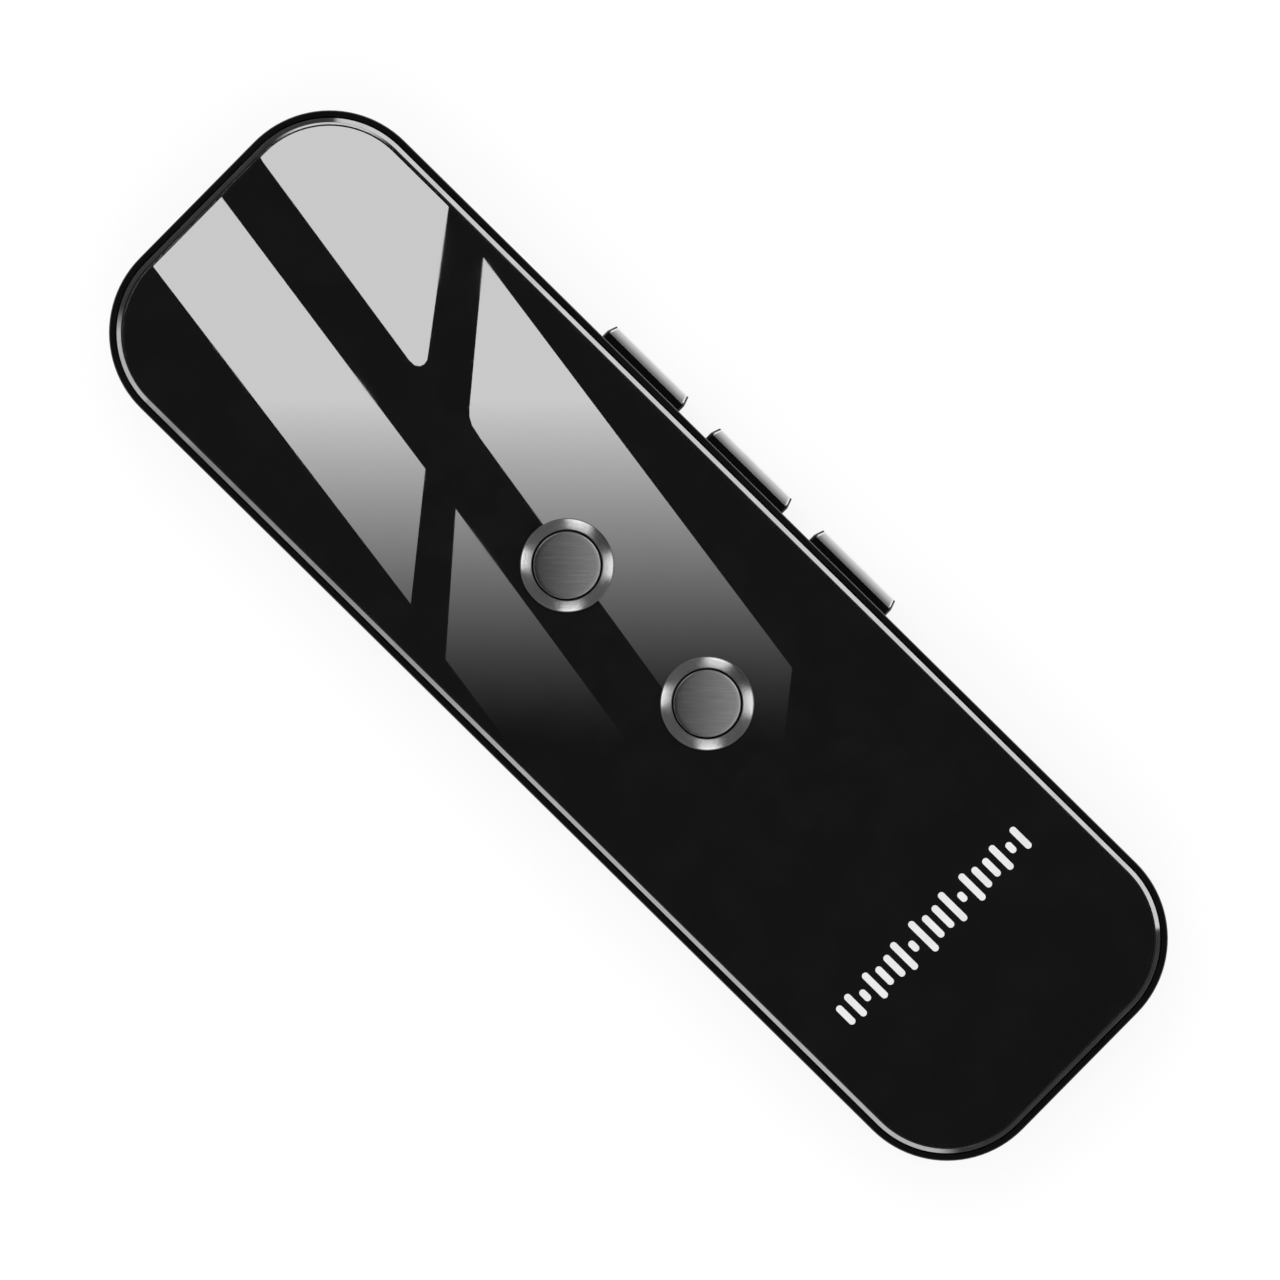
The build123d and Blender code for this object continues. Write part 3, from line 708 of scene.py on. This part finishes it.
def blendColors(tree, share, first, second):
    colors = ((*c, 1) if isinstance(c, (tuple, list)) else c for c in (first, second))
    return addNode(tree, "Mix", {0: share, **dict(zip((6, 7), colors))}, data_type="RGBA").outputs[2]


def startFinish(name, metallic):
    material = bpy.data.materials.new(name)
    material.use_nodes = True
    shader = material.node_tree.nodes["Principled BSDF"].inputs
    shader["Metallic"].default_value = metallic
    return material, material.node_tree, shader


def endFinish(material, shader, color, roughness, bump):
    # roughness is what it follows and its two ends, bump a height and its depth
    tree = material.node_tree
    share, smooth, rough = roughness
    height, depth = bump
    tree.links.new(color, shader["Base Color"])
    tree.links.new(stretchValue(tree, share, 0, 1, smooth, rough), shader["Roughness"])
    tree.links.new(addNode(tree, "Bump", {"Height": height, "Distance": depth}).outputs[0], shader["Normal"])
    return material


def glossPlastic(name, color, rubbed, smooth, handled, depth):
    material, tree, shader = startFinish(name, 0)
    marks = useGroup(tree, handlingMarks)
    grain = useGroup(tree, mouldGrain)
    worn = times(tree, useGroup(tree, edgeRub)["Rub"], 0.35)
    mottled = blendColors(tree, grain["Mottle"], color, [c * 1.25 for c in color])
    tone = blendColors(tree, worn, mottled, rubbed)
    touched = larger(tree, marks["Smudge"], marks["Hairline"])
    return endFinish(material, shader, tone, (touched, smooth, handled), (grain["Height"], depth))


def platedMetal(name, color, tarnish, smooth, handled, depth):
    material, tree, shader = startFinish(name, 1)
    marks = useGroup(tree, handlingMarks, Size=160)
    grain = useGroup(tree, mouldGrain, Grain=5200, Flow=420)
    tone = blendColors(tree, grain["Mottle"], color, tarnish)
    touched = larger(tree, marks["Smudge"], marks["Hairline"])
    return endFinish(material, shader, tone, (touched, smooth, handled), (grain["Height"], depth))


def brushedMetal(name, color, second, smooth, rough, depth):
    material, tree, shader = startFinish(name, 1)
    lines = useGroup(tree, brushLines)
    marks = useGroup(tree, handlingMarks, Size=300)
    tone = blendColors(tree, lines["Tone"], color, second)
    dull = larger(tree, lines["Tone"], marks["Smudge"])
    return endFinish(material, shader, tone, (dull, smooth, rough), (lines["Height"], depth))


def mattMoulding(name, color, second, rough, depth, grain=5000):
    material, tree, shader = startFinish(name, 0)
    skin = useGroup(tree, mouldGrain, Grain=grain, Flow=500)
    worn = times(tree, useGroup(tree, edgeRub)["Rub"], 0.3)
    mottled = blendColors(tree, skin["Mottle"], color, second)
    tone = blendColors(tree, worn, mottled, [min(1, c * 1.8 + 0.02) for c in color])
    roughness = (skin["Mottle"], rough, min(1, rough + 0.12))
    return endFinish(material, shader, tone, roughness, (skin["Height"], depth))


def wovenCloth(name, thread, gap):
    material, tree, shader = startFinish(name, 0)
    weave = useGroup(tree, plainWeave)
    tone = blendColors(tree, weave["Gap"], thread, gap)
    return endFinish(material, shader, tone, (weave["Gap"], 0.7, 0.95), (weave["Height"], 0.00006))


def greenBoard(name, mask, copper):
    material, tree, shader = startFinish(name, 0)
    lines = useGroup(tree, copperTracks)
    tracked = blendColors(tree, lines["Track"], mask, [c * 1.7 for c in mask])
    tone = blendColors(tree, lines["Pad"], tracked, copper)
    tree.links.new(lines["Pad"], shader["Metallic"])
    raised = larger(tree, lines["Track"], lines["Pad"])
    return endFinish(material, shader, tone, (lines["Pad"], 0.35, 0.25), (raised, 0.00003))


def crinkledFoil(name, color, second):
    material, tree, shader = startFinish(name, 1)
    folds = addNoise(tree, ownPlace(tree), 260, 4, distortion=0.8)
    fold = ramp(tree, folds, 0.35, 0.65)
    tone = blendColors(tree, fold, color, second)
    return endFinish(material, shader, tone, (fold, 0.28, 0.45), (folds, 0.0002))


def camelName(words):
    first, *rest = words.split("_")
    return first + "".join(word.title() for word in rest)


# Two colours, then for gloss, plating and brushing the roughness of clean and handled places,
# for mouldings one roughness, and last the depth of the grain; by material slot
finishKinds = [
    (glossPlastic, {
        "case_plastic": (grey(0.0035, 0.0038), grey(0.02), 0.09, 0.16, 2e-7),
        "panel_acrylic": (grey(0.006, 0.0062), grey(0.012), 0.004, 0.012, 0),
        "key_plastic": (grey(0.0035, 0.0038), grey(0.02), 0.1, 0.18, 2e-7),
    }),
    (platedMetal, {
        "trim_plating": (grey(0.72, 0.73), grey(0.64, 0.65), 0.08, 0.14, 4e-7),
        "ring_plating": (grey(0.64, 0.65), grey(0.61, 0.62), 0.13, 0.145, 1e-7),
        "screw_steel": (grey(0.05, 0.055), grey(0.035), 0.35, 0.45, 2e-6),
        "magnet_nickel": ((0.52, 0.5, 0.46), (0.46, 0.44, 0.4), 0.2, 0.3, 1e-6),
    }),
    (brushedMetal, {
        "cap_metal": (grey(0.41, 0.42), grey(0.46, 0.47), 0.2, 0.25, 4e-7),
        "bright_screw_steel": (grey(0.55), grey(0.48, 0.5), 0.3, 0.4, 1e-6),
        "tinned_steel": (grey(0.56), grey(0.66), 0.28, 0.38, 1e-6),
    }),
    (mattMoulding, {
        "adhesive_film": (grey(0.04), grey(0.06), 0.6, 3e-6),
        "chip_resin": (grey(0.025, 0.027), grey(0.035, 0.037), 0.5, 4e-6),
        "chip_ceramic": ((0.5, 0.45, 0.36), (0.62, 0.57, 0.48), 0.55, 3e-6),
        "switch_housing": (grey(0.025), grey(0.035), 0.5, 3e-6),
        "switch_plunger": (grey(0.58, 0.56), grey(0.66, 0.64), 0.45, 2e-6),
        "contact_moulding": (grey(0.04), grey(0.055), 0.45, 3e-6),
        "soft_rubber": (grey(0.025), grey(0.04), 0.8, 6e-6),
        "lead_red": ((0.5, 0.025, 0.018), (0.62, 0.04, 0.03), 0.4, 2e-6),
        "lead_black": (grey(0.018), grey(0.03), 0.4, 2e-6),
        "connector_white": ((0.72, 0.7, 0.64), (0.78, 0.76, 0.71), 0.5, 2e-6),
        "speaker_steel": (grey(0.07, 0.075), grey(0.09, 0.095), 0.4, 4e-6),
        "speaker_film": (grey(0.05), grey(0.08), 0.6, 6e-6, 2500),   # and a coarser grain
        "light_lens": ((0.68, 0.7, 0.7), (0.74, 0.76, 0.76), 0.25, 1e-6),
    }),
    (greenBoard, {"circuit_board": ((0.01, 0.12, 0.05), (0.75, 0.55, 0.25))}),
    (crinkledFoil, {"battery_pouch": ((0.52, 0.53, 0.55), (0.62, 0.63, 0.65))}),
    (wovenCloth, {"mesh_cloth": (grey(0.03), grey(0.006))}),
]
finishes = {slot: make(camelName(slot), *look) for make, looks in finishKinds for slot, look in looks.items()}
for row in frame["record"]["subparts"]:
    node = nodes[row["node"]]
    node.data.materials.clear()
    node.data.materials.append(finishes[row["material_slot"]])
print("finishes made:", len(finishes))


# Case

caseOutline = {"width": 42.4, "length": 140, "cornerRadius": 12, "cornerSteps": 24}
speakerY = 44
screwPlaces = [(x, y) for x in (-14.6, 14.6) for y in (-60.6, 60.6)]

# an edge is its width and number of steps, a mouth how much wider an end gets along x, y and z
rearCoverSizes = {
    "seam": 2.8, "backEdge": (2.2, 10), "seamChamfer": 0.12,
    "lipInset": 0.78, "lipRise": 0.9, "lipThickness": 0.6, "floor": 1.3, "overlap": 0.2,
    "bossRadius": 2.6, "bossTop": 3.4, "screwSeat": 1, "screwHole": 0.95, "screwHoleEnds": (0.5, 5),
    "screwPocket": 1.75, "pocketFlare": 0.12, "pocketMouth": (1.14, 1.14),
    "speakerRib": 10.25, "speakerRibThickness": 0.8, "speakerRibTop": 2.9, "speakerBoreTop": 4,
    "hole": 0.5, "holeFlare": 0.1, "holeMouth": (1.3, 1.3), "holePitch": 2, "holeRings": 3,
}


def buildGrilleCutter(size):
    # one flared punch, copied to the hexagonal rings of sound holes
    flare = size["holeFlare"]
    punch = addRod("punch", 0, speakerY, flare, size["floor"] + size["overlap"], size["hole"], sides=24)
    flareEnd(punch, (0, 0, -1), flare, (0, speakerY, 0), *size["holeMouth"])
    punches = [punch]
    rings = size["holeRings"]
    for i in range(-rings, rings + 1):
        for j in range(-rings, rings + 1):
            if abs(i + j) <= rings and (i or j):
                x = size["holePitch"] * (i + j / 2)
                y = size["holePitch"] * j * sqrt(3) / 2
                punches.append(copyPiece(punch, "punch", x, y))
    return joinPieces(punches, "grilleCutter")


def buildRearCover():
    size = rearCoverSizes
    cover = addSlab("rearCover", 0, 0, size["seam"], caseOutline)
    openMesh(cover)
    bevelLevel(cover, 0, *size["backEdge"])
    bevelLevel(cover, size["seam"], size["seamChamfer"])
    pickFlat(cover, size["seam"], 1)
    insetFaces(size["lipInset"])
    pushOut(z=size["lipRise"])
    insetFaces(size["lipThickness"])
    pushOut(z=size["floor"] - size["seam"] - size["lipRise"])
    closeMesh()
    bottom = size["floor"] - size["overlap"]
    outside = size["speakerRib"] + size["speakerRibThickness"]
    rib = addRod("rib", 0, speakerY, bottom, size["speakerRibTop"], outside)
    cutAway(rib, addRod("ribBore", 0, speakerY, 0, size["speakerBoreTop"], size["speakerRib"]))
    combine(cover, rib, "UNION")
    for x, y in screwPlaces:
        combine(cover, addRod("boss", x, y, bottom, size["bossTop"], size["bossRadius"]), "UNION")
    flare = size["pocketFlare"]
    for x, y in screwPlaces:
        pocket = addRod("pocket", x, y, flare, size["screwSeat"], size["screwPocket"])
        cutAway(cover, flareEnd(pocket, (0, 0, -1), flare, (x, y, 0), *size["pocketMouth"]))
        cutAway(cover, addRod("screwHole", x, y, *size["screwHoleEnds"], size["screwHole"], sides=32))
    cutAway(cover, buildGrilleCutter(size))
    finishPiece(cover, "case", ["rear_cover"], "case_plastic")


frontFrameSizes = {
    "seam": 2.8, "rimTop": 11.7, "rimEdge": (0.3, 6), "seamChamfer": 0.12, "rimFlat": 0.4, "deck": 11,
    "grooveInset": 0.68, "grooveHeight": 1, "wallStep": 0.7, "web": 10,
    "postRadius": 2.3, "postBottom": 3.4, "overlap": 0.3, "deckCut": (9, 12), "buttonHole": 4.75,
    "buttonPlaces": (11.3, -10.9), "lightHole": 0.88, "lightPlace": 57.5, "microphoneHole": 0.5,
    "microphoneDepth": 3, "microphonePlace": (7.05, -69.5, 4.7),
    "flare": 0.12, "keyGap": 0.14, "keyCutStart": 18, "keyMouth": (1, 1.035, 1.13),
    "socketMouth": (1.05, 1, 1.14),
}
keySizes = {
    "back": 19, "flange": 19.6, "bevelFoot": 22.13, "face": 23.25, "height": 5.775, "long": 12.2,
    "tall": 3.2, "corner": (0.5, 6), "flangeOverlap": 0.7, "faceLong": 11.4, "faceTall": 1.62,
    "bevelSteps": 6, "bevelCurve": 0.12, "polishedSpread": 0.3, "faceEdge": (0.1, 3),
    "nibReach": 0.3, "nib": 1.4,
    "places": {"volume_up": 20.65, "volume_down": 4.2, "power": -12.25},
}
socketSizes = {
    "mouth": -69.65, "back": -64.05, "height": 5.35, "wide": 7.5, "tall": 2.5, "shell": 0.3,
    "cornerCut": 0.7, "gap": 0.22, "lipEdge": (0.1, 3),
}


def addKeyBar(name, y, xLow, xHigh, grow=0):
    # a bar with a key's section, along X
    long, tall = keySizes["long"] / 2 + grow, keySizes["tall"] / 2 + grow
    middle = keySizes["height"]
    bar = addBlock(name, (xLow, y - long, middle - tall), (xHigh, y + long, middle + tall))
    openMesh(bar)
    pickEdges(bar, lambda a, b: near(a.y, b.y) and near(a.z, b.z))
    radius, steps = keySizes["corner"]
    bevelEdges(radius + grow, steps)
    closeMesh()
    return bar


def addSocketBar(name, yLow, yHigh, grow=0):
    # a bar with the socket's section, along Y, its two lower corners cut
    size = socketSizes
    wide, tall = size["wide"] / 2 + grow, size["tall"] / 2 + grow
    bar = addBlock(name, (-wide, yLow, size["height"] - tall), (wide, yHigh, size["height"] + tall))
    openMesh(bar)
    pickEdges(bar, lambda a, b: near(a.x, b.x) and near(a.z, b.z) and a.z < size["height"])
    bevelEdges(size["cornerCut"])
    closeMesh()
    return bar


def buildFrontFrame():
    size = frontFrameSizes
    shell = addSlab("frontFrame", 0, size["seam"], size["rimTop"], caseOutline)
    openMesh(shell)
    bevelLevel(shell, size["rimTop"], *size["rimEdge"])
    bevelLevel(shell, size["seam"], size["seamChamfer"])
    pickFlat(shell, size["rimTop"], 1)
    insetFaces(size["rimFlat"])
    pushOut(z=size["deck"] - size["rimTop"])
    pickFlat(shell, size["seam"], -1)
    insetFaces(size["grooveInset"])
    pushOut(z=size["grooveHeight"])
    insetFaces(size["wallStep"])
    pushOut(z=size["web"] - size["seam"] - size["grooveHeight"])
    closeMesh()
    for x, y in screwPlaces:
        post = addRod("post", x, y, size["postBottom"], size["web"] + size["overlap"], size["postRadius"])
        combine(shell, post, "UNION")
    for y in size["buttonPlaces"]:
        cutAway(shell, addRod("buttonHole", 0, y, *size["deckCut"], size["buttonHole"], sides=96))
    cutAway(shell, addRod("lightHole", 0, size["lightPlace"], *size["deckCut"], size["lightHole"], sides=32))
    side, end = caseOutline["width"] / 2, -caseOutline["length"] / 2
    flare = size["flare"]
    for y in keySizes["places"].values():
        cutter = addKeyBar("keyHole", y, size["keyCutStart"], side - flare, size["keyGap"])
        centre = (side, y, keySizes["height"])
        cutAway(shell, flareEnd(cutter, (1, 0, 0), flare, centre, *size["keyMouth"]))
    opening = addSocketBar("socketHole", end + flare, socketSizes["back"], socketSizes["gap"])
    centre = (0, end, socketSizes["height"])
    cutAway(shell, flareEnd(opening, (0, -1, 0), flare, centre, *size["socketMouth"]))
    bpy.ops.mesh.primitive_cylinder_add(vertices=24, radius=size["microphoneHole"],
                                        depth=size["microphoneDepth"], location=size["microphonePlace"],
                                        rotation=(radians(90), 0, 0))
    cutAway(shell, nameAndSettle("microphoneHole"))
    finishPiece(shell, "case", ["front_frame"], "case_plastic")


trimSizes = {
    "inset": 0.89, "bottom": 11, "shoulder": 11.74, "width": 0.7,
    "slopes": [(0.25, 0.145), (0.22, 0.1), (0.02, -0.05), (0.21, 0.046)],   # inwards and up
}


def buildTrimRing():
    size = trimSizes
    ring = addSlab("trimRing", size["inset"], size["bottom"], size["shoulder"], caseOutline)
    openMesh(ring)
    pickFlat(ring, size["shoulder"], 1)
    for inward, up in size["slopes"]:
        insetFaces(inward, up)
    pickFlat(ring, size["bottom"], -1)
    insetFaces(size["width"])
    # the two faces that are left in the middle, one over the other
    pickFaces(ring, lambda at, normal: hypot(at.x, at.y) < hair)
    bpy.ops.mesh.bridge_edge_loops()
    closeMesh()
    return finishPiece(ring, "case", ["trim_ring"], "trim_plating")


panelSizes = {"inset": 1.65, "bottom": 11.2, "top": 12, "edge": (0.14, 5),
              "hole": 4.75, "holeEnds": (11, 13)}


def buildFrontPanel():
    size = panelSizes
    panel = addSlab("frontPanel", size["inset"], size["bottom"], size["top"], caseOutline)
    openMesh(panel)
    bevelLevel(panel, size["top"], *size["edge"])
    closeMesh()
    for y in frontFrameSizes["buttonPlaces"]:
        cutAway(panel, addRod("buttonHole", 0, y, *size["holeEnds"], size["hole"], sides=96))
    return finishPiece(panel, "case", ["front_panel"], "panel_acrylic")


buildRearCover()
print("rear cover built")
buildFrontFrame()
print("front frame built")
trimRing = buildTrimRing()
frontPanel = buildFrontPanel()
print("trim ring and front panel built")


# Level print on the panel

printSizes = {
    "middle": -46.7, "bars": 19, "pitch": 1.56, "wide": 0.8, "straight": 0.01, "shortest": 1.2,
    "tallest": 4.8, "surface": 12, "thick": 0.015, "sunk": 0.005, "endSteps": 6,
    "waveTurn": 1.9, "waveStart": 0.6, "waveFall": 0.045,
}


def buildLevelPrint():
    size = printSizes
    half, straight = size["wide"] / 2, size["straight"]
    low, high = size["surface"] - size["sunk"], size["surface"] + size["thick"]
    first = addBlock("bar", (-half, -half - straight, low), (half, half + straight, high))
    roundUprights(first, half - straight, size["endSteps"])
    bars = []
    for i in range(size["bars"]):
        fromMiddle = i - (size["bars"] - 1) / 2
        wave = abs(sin(size["waveTurn"] * fromMiddle + size["waveStart"]))
        wave *= 1 - size["waveFall"] * abs(fromMiddle)
        tall = size["shortest"] + (size["tallest"] - size["shortest"]) * wave
        bar = copyPiece(first, "bar", fromMiddle * size["pitch"], size["middle"])
        stretch = (tall - size["wide"]) / 2
        openMesh(bar)
        for way in (1, -1):
            pickFaces(bar, lambda at, normal: (at.y - size["middle"]) * way > 2 * hair)
            bpy.ops.transform.translate(value=(0, stretch * way, 0))
        closeMesh()
        bars.append(bar)
    bpy.data.objects.remove(first)
    ink = mattMoulding("whiteInk", grey(0.8), grey(0.86), 0.4, 2e-7)
    finishPiece(joinPieces(bars, "levelPrint"), "case", [], material=ink)


buildLevelPrint()
print("level print built")


# Round buttons

ringSizes = {
    "outside": 5.3, "sleeve": 4.7, "panel": 12, "bottom": 10, "wallTop": 12.33,
    "slopes": [(0.13, 0.09), (0.36, 0.08), (0.37, 0.06), (0.36, 0.04), (0.08, -0.05)],   # inwards and up
}
capSizes = {
    "radius": 3.85, "edge": (0.22, 5), "rim": 12.3, "dome": 0.12, "domeSteps": 9,
    "flangeTop": 9.95, "flangeBottom": 9.35, "flangeRadius": 5.55, "stemRadius": 1.1, "stemBottom": 9.2,
}


def buildButtonRing(name, y):
    size = ringSizes
    ring = addRod(name + "ButtonRing", 0, y, size["panel"], size["wallTop"], size["outside"], sides=128)
    openMesh(ring)
    pickFlat(ring, size["wallTop"], 1)
    height = size["wallTop"]
    for inward, up in size["slopes"]:
        insetFaces(inward, up)
        height += up
    pushOut(z=size["bottom"] - height)
    bpy.ops.mesh.delete(type="FACE")
    pickFlat(ring, size["panel"], -1)
    stepTo((0, y, size["panel"]), size["outside"], size["sleeve"])
    pushOut(z=size["bottom"] - size["panel"])
    bpy.ops.mesh.delete(type="FACE")
    pickLevel(ring, size["bottom"])
    bpy.ops.mesh.bridge_edge_loops()
    closeMesh()
    return finishPiece(ring, "case", [f"{name}_button_ring"], "ring_plating")


def buildButtonCap(name, y):
    size = capSizes
    cap = addRod(name + "ButtonCap", 0, y, size["flangeTop"], size["rim"], size["radius"], sides=128)
    # the second finish is painted shade: it darkens the cap's foot, seen down the gap round the cap
    for slot in ("cap_metal", "switch_housing"):
        cap.data.materials.append(finishes[slot])
    openMesh(cap)
    bevelLevel(cap, size["rim"], *size["edge"])
    pickFlat(cap, size["rim"], 1)
    # raise the flat top in rings to the shallow dome
    flat = size["radius"] - size["edge"][0]
    domeRadius = (flat**2 + size["dome"]**2) / (2 * size["dome"])
    step = flat / (size["domeSteps"] + 0.5)
    height = 0
    for i in range(1, size["domeSteps"] + 1):
        left = flat - i * step
        rise = size["dome"] - domeRadius + sqrt(domeRadius**2 - left**2)
        insetFaces(step, rise - height)
        height = rise
    pickFlat(cap, size["flangeTop"], -1)
    stepTo((0, y, size["flangeTop"]), size["radius"], size["flangeRadius"])
    pushOut(z=size["flangeBottom"] - size["flangeTop"])
    stepTo((0, y, size["flangeBottom"]), size["flangeRadius"], size["stemRadius"])
    pushOut(z=size["stemBottom"] - size["flangeBottom"])
    # the metal cap sits on a black moulded foot, made black as painted shade so that the gap round the cap
    # reads dark
    paintFaces(cap, 1, lambda at, normal: at.z < size["flangeTop"] + hair)
    closeMesh()
    return finishPiece(cap, f"{name}_button", [f"{name}_button_cap"], "cap_metal")


buttonRings, buttonCaps = [], []
for name, y in zip(("upper", "lower"), frontFrameSizes["buttonPlaces"]):
    buttonRings.append(buildButtonRing(name, y))
    buttonCaps.append(buildButtonCap(name, y))
print("round buttons built")


# Side keys

keyPlating = platedMetal("keyPlating", grey(0.88, 0.89), grey(0.83, 0.84), 0.13, 0.18, 3e-7)


def buildSideKey(name, y):
    size = keySizes
    middle = size["height"]
    key = addKeyBar(camelName(name) + "Key", y, size["flange"], size["bevelFoot"])
    for material in (finishes["key_plastic"], keyPlating, finishes["cap_metal"]):
        key.data.materials.append(material)
    openMesh(key)
    # the outer edge falls away to the outer face, a little steeper with each step
    steps = size["bevelSteps"]
    shares = [i / steps * (1 - size["bevelCurve"] * (1 - i / steps)) for i in range(steps + 1)]
    lengths = [size["long"] + (size["faceLong"] - size["long"]) * share for share in shares]
    talls = [size["tall"] + (size["faceTall"] - size["tall"]) * share for share in shares]
    reach = (size["face"] - size["bevelFoot"]) / steps
    pickFacing(key, (1, 0, 0))
    for i in range(1, steps + 1):
        pushOut(x=reach)
        resizeAbout((0, y, middle), 1, lengths[i] / lengths[i - 1], talls[i] / talls[i - 1])
    bpy.ops.mesh.region_to_loop()
    bevelEdges(*size["faceEdge"])
    # polished long slopes, and a satin outer face inside them
    foot, spread = size["bevelFoot"] + hair, size["polishedSpread"]
    paintFaces(key, 1, lambda at, normal: at.x > foot and abs(normal.y) < spread)
    paintFaces(key, 2, lambda at, normal: near(at.x, size["face"]))
    pickFacing(key, (-1, 0, 0))
    pushOut()
    overlap = 2 * size["flangeOverlap"]
    resizeAbout((0, y, middle), 1, 1 + overlap / size["long"], 1 + overlap / size["tall"])
    pushOut(x=size["back"] - size["flange"])
    pushOut()
    long, tall = size["long"] + overlap, size["tall"] + overlap
    resizeAbout((0, y, middle), 1, size["nib"] / long, size["nib"] / tall)
    pushOut(x=-size["nibReach"])
    closeMesh()
    finishPiece(key, f"{name}_button", [f"{name}_key"], "key_plastic", smoothAngle=25)


for name, y in keySizes["places"].items():
    buildSideKey(name, y)
print("side keys built")


# Screws and socket

screwSizes = {
    "head": 1.45, "headBottom": 0.2, "seat": 1, "shank": 0.8, "tip": 7, "headEdge": (0.16, 4),
    "slotLong": 1.6, "slotWide": 0.32, "slotDepth": 0.35, "slotTaper": 0.8,
}


def buildCaseScrews():
    size = screwSizes
    screw = addRod("caseScrew", 0, 0, size["headBottom"], size["seat"], size["head"], sides=48)
    openMesh(screw)
    bevelLevel(screw, size["headBottom"], *size["headEdge"])
    pickFlat(screw, size["seat"], 1)
    stepTo((0, 0, size["seat"]), size["head"], size["shank"])
    pushOut(z=size["tip"] - size["seat"])
    closeMesh()
    arm, half = size["slotLong"] / 2, size["slotWide"] / 2
    top = size["headBottom"] + size["slotDepth"]
    for x, y in ((arm, half), (half, arm)):
        slot = addBlock("slot", (-x, -y, 0), (x, y, top))
        openMesh(slot)
        pickFlat(slot, top, 1)
        resizeAbout((0, 0, top), size["slotTaper"], size["slotTaper"])
        closeMesh()
        cutAway(screw, slot)
    screws = [copyPiece(screw, f"caseScrew{i + 1}", x, y) for i, (x, y) in enumerate(screwPlaces)]
    bpy.data.objects.remove(screw)
    for piece in screws:
        finishPiece(piece, "case", ["case_screws"], "screw_steel")


def buildSocketShell():
    size = socketSizes
    shell = addSocketBar("socketShell", size["mouth"], size["back"])
    openMesh(shell)
    pickFacing(shell, (0, -1, 0))
    insetFaces(size["shell"])
    pushOut(y=size["back"] - size["mouth"] - size["shell"])
    pickEdges(shell, lambda a, b: near(a.y, size["mouth"]) and near(b.y, size["mouth"]))
    bevelEdges(*size["lipEdge"])
    closeMesh()
    finishPiece(shell, "case", ["socket_shell"], "tinned_steel")


contactSizes = {
    "count": 5, "pitch": 0.65, "wide": 0.34, "front": -68.8, "back": -66.2,
    "tongueUnder": 5.05, "proud": 0.03, "sunk": 0.02, "edge": (0.02, 2),
}


def buildSocketContacts():
    # flat plated strips on the back side of the socket's tongue
    size = contactSizes
    half = size["wide"] / 2
    low, high = size["tongueUnder"] - size["proud"], size["tongueUnder"] + size["sunk"]
    first = addBlock("strip", (-half, size["front"], low), (half, size["back"], high))
    openMesh(first)
    bevelLevel(first, low, *size["edge"])
    closeMesh()
    middle = (size["count"] - 1) / 2
    strips = [copyPiece(first, "strip", (i - middle) * size["pitch"]) for i in range(size["count"])]
    bpy.data.objects.remove(first)
    plating = platedMetal("contactPlating", (0.76, 0.57, 0.28), (0.68, 0.5, 0.24), 0.22, 0.3, 1e-7)
    finishPiece(joinPieces(strips, "socketContacts"), "case", [], material=plating)


buildCaseScrews()
buildSocketShell()
buildSocketContacts()
print("screws and socket built")


# Lamps and cards, linked to what they are meant for

def gather(name, pieces):
    group = bpy.data.collections.new(name)
    for piece in pieces:
        group.objects.link(piece)
    return group


buildLamps()
buildPanelCards(gather("panelOnly", [frontPanel]))
trimOnly = gather("trimOnly", [trimRing])
buildSoftWall(trimOnly)
placeCanopy("cornerCanopy", cornerCanopy, cornerLevel, trimOnly)
placeCanopy("ringCanopy", ringCanopy, ringLevel, gather("ringsOnly", buttonRings))
placeCanopy("capCanopy", capCanopy, capLevel, gather("capsOnly", buttonCaps))
print("lamps and cards placed")
